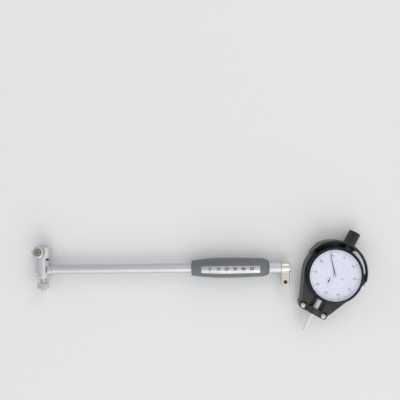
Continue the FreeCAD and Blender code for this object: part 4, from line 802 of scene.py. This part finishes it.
@dataclass
class DialFace:
    """Print on the dial: the outer scale on the ring, the count scale on the disc."""

    ink: float = 0.02
    ring_top: float = 10.45
    disc_top: float = 10.4
    outer: float = 24.6
    numeral_circle: float = 19.6
    numeral_height: float = 2.5
    ticks: int = 100
    tick_lengths: dict[int, float] = field(default_factory=lambda: {10: 2.6, 5: 2.0, 1: 1.5})
    tick_widths: dict[int, float] = field(default_factory=lambda: {10: 0.34, 5: 0.22, 1: 0.16})
    count_centre: tuple[float, float] = (-3.15, -7.6)
    count_radius: float = 5.0
    count_tick: tuple[float, float] = (1.1, 0.2)
    digit_height: float = 1.1
    digit_inset: float = 2.0
    step_text: str = "0.01"
    step_height: float = 1.5
    step_reach: float = 8.2
    rounding_share: float = 0.3

    def _tick(self, length: float, width: float) -> Piece:
        """Model one printed line that hangs down from its own origin.

        Args:
            length: how long it is.
            width: how wide it is.

        Returns:
            The line, the pattern for its copies.
        """
        line = Workshop.plate("tick", (width, length, self.ink),
                              (0, -length / 2, self.ink / 2))
        return Workshop.rounded(line, width * self.rounding_share)

    @staticmethod
    def _round(angle: float, radius: float, top: float,
               centre: tuple[float, float] = (0, 0)) -> Matrix:
        """Place on a circle, turned to point at its centre.

        Args:
            angle: the angle from the top, in degrees clockwise.
            radius: the circle's radius.
            top: the height of the printed surface.
            centre: the circle's centre.

        Returns:
            The place, in the dial's frame.
        """
        turn = Matrix.Translation((*centre, top)) @ Matrix.Rotation(math.radians(-angle), 4, "Z")
        return turn @ Matrix.Translation((0, radius, 0))

    def build(self, wardrobe: Wardrobe) -> list[Piece]:
        """Model and dress all the print.

        Args:
            wardrobe: the finishes.

        Returns:
            The pieces.
        """
        patterns = {kind: self._tick(length, self.tick_widths[kind])
                    for kind, length in self.tick_lengths.items()}
        marks = []
        for index in range(self.ticks):
            kind = 10 if index % 10 == 0 else 5 if index % 5 == 0 else 1
            place = self._round(360.0 * index / self.ticks, self.outer, self.ring_top)
            marks.append(Workshop.copied(patterns[kind], place))
        scale = Workshop.joined("dial_scale_marks", marks)
        numerals = []
        for index in range(0, self.ticks, 10):
            angle = math.radians(360.0 * index / self.ticks)
            spot = Vector((math.sin(angle), math.cos(angle), 0)) * self.numeral_circle
            spot.z = self.ring_top + self.ink / 2
            numerals.append(Workshop.lettered("numeral", str(index), self.numeral_height, self.ink,
                                              Matrix.Translation(spot)))
        figures = Workshop.joined("dial_scale_figures", numerals)
        short = self._tick(*self.count_tick)
        small = []
        digits = []
        for index in range(10):
            place = self._round(36.0 * index, self.count_radius, self.disc_top, self.count_centre)
            small.append(Workshop.copied(short, place))
            angle = math.radians(36.0 * index)
            spot = Vector((*self.count_centre, self.disc_top + self.ink / 2))
            spot += Vector((math.sin(angle), math.cos(angle), 0)) * (
                self.count_radius - self.digit_inset)
            digits.append(Workshop.lettered("digit", str(index), self.digit_height, self.ink,
                                            Matrix.Translation(spot)))
        Workshop.discard([short, *patterns.values()])
        count_marks = Workshop.joined("count_scale_marks", small)
        count_figures = Workshop.joined("count_scale_figures", digits)
        spot = Vector((self.step_reach, 0, self.disc_top + self.ink / 2))
        step_value = Workshop.lettered("dial_step_value", self.step_text, self.step_height,
                                       self.ink, Matrix.Translation(spot))
        for piece, body, finish in ((step_value, Body.ROOT, "print_ink"),
                                    (scale, Body.BEZEL, "print_ink"),
                                    (figures, Body.BEZEL, "print_ink"),
                                    (count_marks, Body.ROOT, "print_ink"),
                                    (count_figures, Body.ROOT, "print_red")):
            Workshop.seated(piece, DIAL.matrix())
            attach(wardrobe.dress(piece, finish), body.value)
        return [step_value, scale, figures, count_marks, count_figures]


@dataclass
class HandHubs:
    """Caps pressed on the hubs of the two hands."""

    cap_radius: float = 1.85
    cap_height: float = 0.3
    dot_radius: float = 0.6
    small_radius: float = 0.8
    low_height: float = 0.12
    sink: float = 0.02
    rim: tuple[tuple[float, float], ...] = (
        (0.0, 1.0), (0.5, 1.0), (0.85, 0.93), (1.0, 0.8), (1.05, 0.4), (1.06, 0.05))

    def _cap(self, name: str, radius: float, height: float, spot: Point) -> Piece:
        """Turn one low cap with a rounded rim.

        Args:
            name: the piece's name.
            radius: its radius, in millimetres.
            height: its height, in millimetres.
            spot: the middle of its underside, in the dial's frame.

        Returns:
            The cap, in the row's frame.
        """
        profile = [(height * rise, radius * reach) for rise, reach in self.rim]
        cap = Workshop.smooth(Workshop.turned(name, profile, sides=48), 40.0)
        return Workshop.seated(cap, DIAL.matrix() @ Matrix.Translation(spot))

    def build(self, wardrobe: Wardrobe) -> list[Piece]:
        """Model and dress the caps.

        Args:
            wardrobe: the finishes.

        Returns:
            The pieces.
        """
        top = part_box("main_hand")[1][2] / MM - DIAL.origin[2]
        small_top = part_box("small_hand")[1][2] / MM - DIAL.origin[2]
        shaft = DIAL.matrix().inverted() @ (middle("rack_pinion_shaft") * MM)
        cap = self._cap("main_hand_cap", self.cap_radius, self.cap_height,
                        (0, 0, top - self.sink))
        dot = self._cap("main_hand_dot", self.dot_radius, self.low_height,
                        (0, 0, top + self.cap_height))
        small = self._cap("small_hand_cap", self.small_radius, self.low_height,
                          (shaft.x, shaft.y, small_top - self.sink))
        for piece, body, finish in ((cap, Body.MAIN_HAND, "hub_brass"),
                                    (dot, Body.MAIN_HAND, "hand_black"),
                                    (small, Body.SMALL_HAND, "hand_black")):
            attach(wardrobe.dress(piece, finish), body.value)
        return [cap, dot, small]


@dataclass
class LabelPrint:
    """Plain numbers and marks printed on the grip's foil plate."""

    numbers: tuple[str, ...] = ("0", "10", "20", "30", "40", "50")
    pitch: float = 8.4
    height: float = 3.1
    ink: float = 0.04
    rise: float = 0.7
    mark_drop: float = -2.5
    bold: float = 0.11
    tall_mark: tuple[float, float] = (0.4, 1.3)
    short_mark: tuple[float, float] = (0.24, 0.8)
    steps: int = 5
    above: float = 40.0
    clearance: float = 0.035
    cuts: int = 3

    def _mark(self, width: float, length: float) -> Piece:
        """Model one flat mark, cut fine enough to lie on the plate.

        Args:
            width: how wide it is, in millimetres.
            length: how long it is, in millimetres.

        Returns:
            The mark, the pattern for its copies.
        """
        Workshop.clear()
        bpy.ops.mesh.primitive_plane_add(size=MM)
        mark = bpy.context.object
        with Workshop.editing():
            bpy.ops.transform.resize(value=(width, length, 1))
            bpy.ops.mesh.subdivide(number_cuts=self.cuts)
        return mark

    def _laid(self, piece: Piece) -> Piece:
        """Cut flat print fine, lay it down on the plate and give it thickness."""
        Workshop.only(piece)
        with Workshop.editing():
            bpy.ops.mesh.quads_convert_to_tris()
            bpy.ops.mesh.subdivide(number_cuts=self.cuts)
        Workshop.apply(piece, "SHRINKWRAP", target=frame["nodes"]["label_plate"],
                       wrap_method="PROJECT", use_project_z=True, use_negative_direction=True,
                       use_positive_direction=False, offset=self.clearance * MM)
        return Workshop.apply(piece, "SOLIDIFY", thickness=self.ink * MM, offset=1.0)

    def build(self, wardrobe: Wardrobe) -> list[Piece]:
        """Model and dress the print.

        Args:
            wardrobe: the finishes.

        Returns:
            The pieces.
        """
        plate = middle("label_plate")
        first = plate.x - self.pitch * (len(self.numbers) - 1) / 2
        figures, marks = [], []
        for index, number in enumerate(self.numbers):
            spot = Vector((first + index * self.pitch, plate.y + self.rise, self.above)) * MM
            place = Matrix.Translation(spot) @ Matrix.Scale(MM, 4)
            figures.append(Workshop.lettered("label_number", number, self.height, 0.0, place,
                                             self.bold))
        tall, short = self._mark(*self.tall_mark), self._mark(*self.short_mark)
        for index in range(self.steps * (len(self.numbers) - 1) + 1):
            spot = Vector((first + index * self.pitch / self.steps, plate.y + self.mark_drop,
                           self.above)) * MM
            pattern = short if index % self.steps else tall
            marks.append(Workshop.copied(pattern, Matrix.Translation(spot)))
        Workshop.discard([tall, short])
        pieces = [Workshop.joined("label_figures", figures), Workshop.joined("label_marks", marks)]
        for piece in pieces:
            self._laid(piece)
            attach(wardrobe.dress(piece, "label_ink"), Body.ROOT.value)
        return pieces


@dataclass
class HeadTrim:
    """The collet's thread, the collar's stepped ring and a dark ring of painted shade in each
    wheel's groove.
    """

    collet_radius: float = 3.5
    thread_rise: float = 0.2
    thread_start: float = -9.2
    thread_end: float = -13.4
    pitch: float = 0.75
    wheel_spot: tuple[float, float] = (-3.0, 18.2)
    groove: tuple[float, float] = (2.95, 3.75)
    collar: tuple[float, float, float] = (9.9, 11.8, 5.45)
    depth: float = 0.68
    root_rise: float = 0.02
    root_sink: float = 0.05
    flank: tuple[float, float] = (0.1, 0.42)
    collar_bore: float = 4.79
    collar_overlap: float = 0.02
    lip: tuple[float, float] = (0.25, 0.15)
    neck: tuple[float, float] = (0.4, 0.25)
    shoulder: float = 0.6
    chamfer: tuple[float, float] = (0.3, 0.25)
    # Height and taper of the painted shade ring in each wheel's groove.
    ring_rise: float = 0.08
    ring_taper: float = 0.05

    def _thread(self) -> Piece:
        """Turn the collet's thread, crest by crest."""
        crest = self.collet_radius + self.thread_rise
        root = self.collet_radius + self.root_rise
        base = self.collet_radius - self.root_sink
        foot, head = self.flank
        profile = [(self.thread_start, base)]
        station = self.thread_start
        while station - self.pitch > self.thread_end:
            turn_profile = ((foot, root), (head, crest), (1 - head, crest), (1 - foot, root))
            profile += [(station - self.pitch * share, radius) for share, radius in turn_profile]
            station -= self.pitch
        profile.append((station, base))
        thread = Workshop.turned("collet_thread", profile, sides=64, ring=True)
        turn = Matrix.Rotation(math.radians(-90), 4, "X")
        return Workshop.smooth(Workshop.seated(thread, STEM.matrix() @ turn), 35.0)

    def _collar(self) -> Piece:
        """Turn the stepped ring that backs the neck collar on the tube."""
        start, end, radius = self.collar
        back = start - self.collar_overlap
        rim = radius + self.lip[1]
        profile = [(back, self.collar_bore), (back, rim), (start + self.lip[0], rim),
                   (start + self.neck[0], radius - self.neck[1]),
                   (start + self.shoulder, radius), (end - self.chamfer[0], radius),
                   (end, radius - self.chamfer[1]), (end, self.collar_bore)]
        ring = Workshop.turned("collar_ring", profile, sides=96, ring=True)
        turn = Matrix.Rotation(math.radians(90), 4, "Y")
        return Workshop.smooth(Workshop.seated(ring, STEM.matrix() @ turn), 35.0)

    def _ring(self, name: str, side: int) -> Piece:
        """One dark ring of painted shade, laid in a wheel's groove.

        Args:
            name: the piece's name.
            side: 1 for the wheel in front and -1 for the one behind.

        Returns:
            The ring, in the row's frame.
        """
        node = "guide_wheel_near" if side > 0 else "guide_wheel_far"
        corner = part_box(node)[1 if side > 0 else 0][2] / MM - STEM.origin[2]
        inner, outer = self.groove
        floor = abs(corner) - self.depth
        top = floor + self.ring_rise
        profile = [(floor, inner), (top, inner + self.ring_taper), (top, outer - self.ring_taper),
                   (floor, outer)]
        ring = Workshop.turned(name, profile, sides=72, ring=True)
        flip = Matrix.Rotation(math.radians(0 if side > 0 else 180), 4, "X")
        place = STEM.matrix() @ Matrix.Translation((*self.wheel_spot, 0)) @ flip
        return Workshop.seated(ring, place)

    def build(self, wardrobe: Wardrobe) -> list[Piece]:
        """Model and dress the trim.

        Args:
            wardrobe: the finishes.

        Returns:
            The pieces.
        """
        thread = self._thread()
        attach(wardrobe.dress(thread, "bright_steel"), Body.ROOT.value)
        collar = self._collar()
        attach(wardrobe.dress(collar, "head_steel"), Body.ROOT.value)
        groove_shades = []
        # Each wheel's groove gets a dark ring of painted shade.
        for name, side, body in (("wheel_groove_shade_near", 1, Body.WHEEL_NEAR),
                                 ("wheel_groove_shade_far", -1, Body.WHEEL_FAR)):
            ring = self._ring(name, side)
            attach(wardrobe.dress(ring, "groove_painted_shade"), body.value)
            groove_shades.append(ring)
        return [thread, collar, *groove_shades]


@dataclass
class Springs:
    """The stem's two coil springs, each a smooth-shaded copy of its solid."""

    guide_travel: float = 3.0
    rod_travel: float = 1.6
    end_gap: float = 0.25
    merge: float = 1e-7

    def _coil(self, node: str, joint: str, axis: int, fixed_end: int, travel: float) -> Piece:
        """Stand a coil in for its solid.

        Args:
            node: the spring's solid.
            joint: the joint whose piece bears on it; not used.
            axis: 0 where it lies along X and 1 where it lies along Y.
            fixed_end: 0 where its low end stays and 1 where its high end stays.
            travel: how far the joint moves, in millimetres; not used.

        Returns:
            The coil.
        """
        coil = Workshop.copied(frame["nodes"][node], Matrix())
        coil.name = coil.data.name = node + "_coil"
        with Workshop.editing():
            bpy.ops.mesh.remove_doubles(threshold=self.merge)
            bpy.ops.mesh.normals_make_consistent(inside=False)
        Workshop.smooth(coil, 60.0)
        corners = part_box(node)
        anchor = middle(node) * MM
        anchor[axis] = corners[fixed_end][axis] + (2 * fixed_end - 1) * self.end_gap * MM
        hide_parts(node)
        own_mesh(coil)
        return coil

    def build(self, wardrobe: Wardrobe) -> list[Piece]:
        """Make and dress both springs.

        Args:
            wardrobe: the finishes.

        Returns:
            The pieces.
        """
        coils = [self._coil("guide_spring", "guide_slide", 1, 0, self.guide_travel),
                 self._coil("push_rod_spring", "rod_slide", 0, 1, self.rod_travel)]
        for coil in coils:
            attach(wardrobe.dress(coil, "spring_steel"), Body.ROOT.value)
        return coils


@dataclass(frozen=True)
class Lamp:
    """One soft square lamp, with its places and width in metres and its power in watts."""

    name: str
    spot: Point
    aim: Point
    size: float
    power: float

    def hang(self) -> None:
        """Hang the lamp."""
        light = bpy.data.lights.new(self.name, "AREA")
        light.size = self.size
        light.energy = self.power
        hung = bpy.data.objects.new(self.name, light)
        bpy.context.scene.collection.objects.link(hung)
        hung.location = self.spot
        aimed = Vector(self.aim) - Vector(self.spot)
        hung.rotation_euler = aimed.to_track_quat("-Z", "Y").to_euler()


@dataclass
class Studio:
    """Floor, lamps and the camera straight above the layout."""

    above: float = 610.0
    beside: tuple[float, float] = (159.10, 68.60)
    view: float = 36.64
    roll: float = 0.57
    clip: float = 0.05
    floor_size: float = 6.0
    floor_colour: Colour = (0.8, 0.8, 0.8)
    floor_roughness: float = 0.9
    floor_specular: float = 0.1
    lamps: tuple[Lamp, ...] = (
        Lamp("front_soft", (0.3, -1.2, 1.1), (0.0, 0.0, 0.0), 1.4, 8.0),
        Lamp("left_fill", (-1.4, 0.6, 0.7), (-0.1, 0.0, 0.0), 0.8, 2.0),
        Lamp("back_soft", (0.5, 1.1, 0.9), (0.0, 0.0, 0.0), 0.7, 3.0))
    bright_side: Point = (0.66, -0.75, 0.0)
    sky_reach: float = 0.9
    sky_dim: Colour = (0.42, 0.43, 0.45)
    sky_bright: Colour = (1.0, 1.0, 1.0)

    def camera(self) -> None:
        """Hang the camera."""
        lens = bpy.data.cameras.new("overhead_camera")
        lens.angle = math.radians(self.view)
        lens.clip_start = self.clip
        eye = bpy.data.objects.new("overhead_camera", lens)
        bpy.context.scene.collection.objects.link(eye)
        eye.location = (Vector(STEM.origin) + Vector((*self.beside, self.above))) * MM
        eye.rotation_euler = (0, 0, math.radians(-self.roll))
        bpy.context.scene.camera = eye

    def floor(self) -> None:
        """Lay the pale floor, which shows white to the camera and in metal."""
        Workshop.clear()
        bpy.ops.mesh.primitive_plane_add(size=self.floor_size, location=(0, 0, 0))
        ground = bpy.context.object
        ground.name = "studio_floor"
        material = bpy.data.materials.new("studio_floor")
        material.use_nodes = True
        shader = material.node_tree.nodes["Principled BSDF"]
        shader.inputs["Base Color"].default_value = (*self.floor_colour, 1.0)
        shader.inputs["Roughness"].default_value = self.floor_roughness
        shader.inputs["Specular IOR Level"].default_value = self.floor_specular
        ground.data.materials.append(material)

    def light(self) -> None:
        """Hang the lamps and set the world."""
        for lamp in self.lamps:
            lamp.hang()
        world = bpy.data.worlds.new("studio_world")
        world.use_nodes = True
        kit = NodeKit(world.node_tree)
        sky = world.node_tree.nodes["Background"]
        way = kit.add("ShaderNodeTexCoord").outputs["Generated"]
        across = kit.add("ShaderNodeVectorMath", operation="DOT_PRODUCT")
        kit.wire(way, across.inputs[0])
        across.inputs[1].default_value = self.bright_side
        share = kit.span(across.outputs["Value"], (-self.sky_reach, self.sky_reach), FULL)
        kit.wire(kit.blend(share, self.sky_dim, self.sky_bright), sky.inputs["Color"])
        sky.inputs["Strength"].default_value = 1.0
        bpy.context.scene.world = world


def main() -> None:
    """Dress the frame, model the new pieces and set the studio."""
    logging.basicConfig(level=logging.INFO, format="%(name)s: %(message)s")
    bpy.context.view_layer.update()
    studio = Studio()
    studio.camera()
    wardrobe = Wardrobe(FINISHES)
    wardrobe.dress_frame(NODE_FINISHES)
    for part in (DialFace(), HandHubs(), LabelPrint(), HeadTrim(), Springs()):
        for piece in part.build(wardrobe):
            LOG.info("%s: %d faces", piece.name, len(piece.data.polygons))
    frame["nodes"]["crystal"].visible_shadow = False
    studio.floor()
    studio.light()
    bpy.context.scene.view_settings.view_transform = "Standard"


if __name__ == "__main__":
    main()
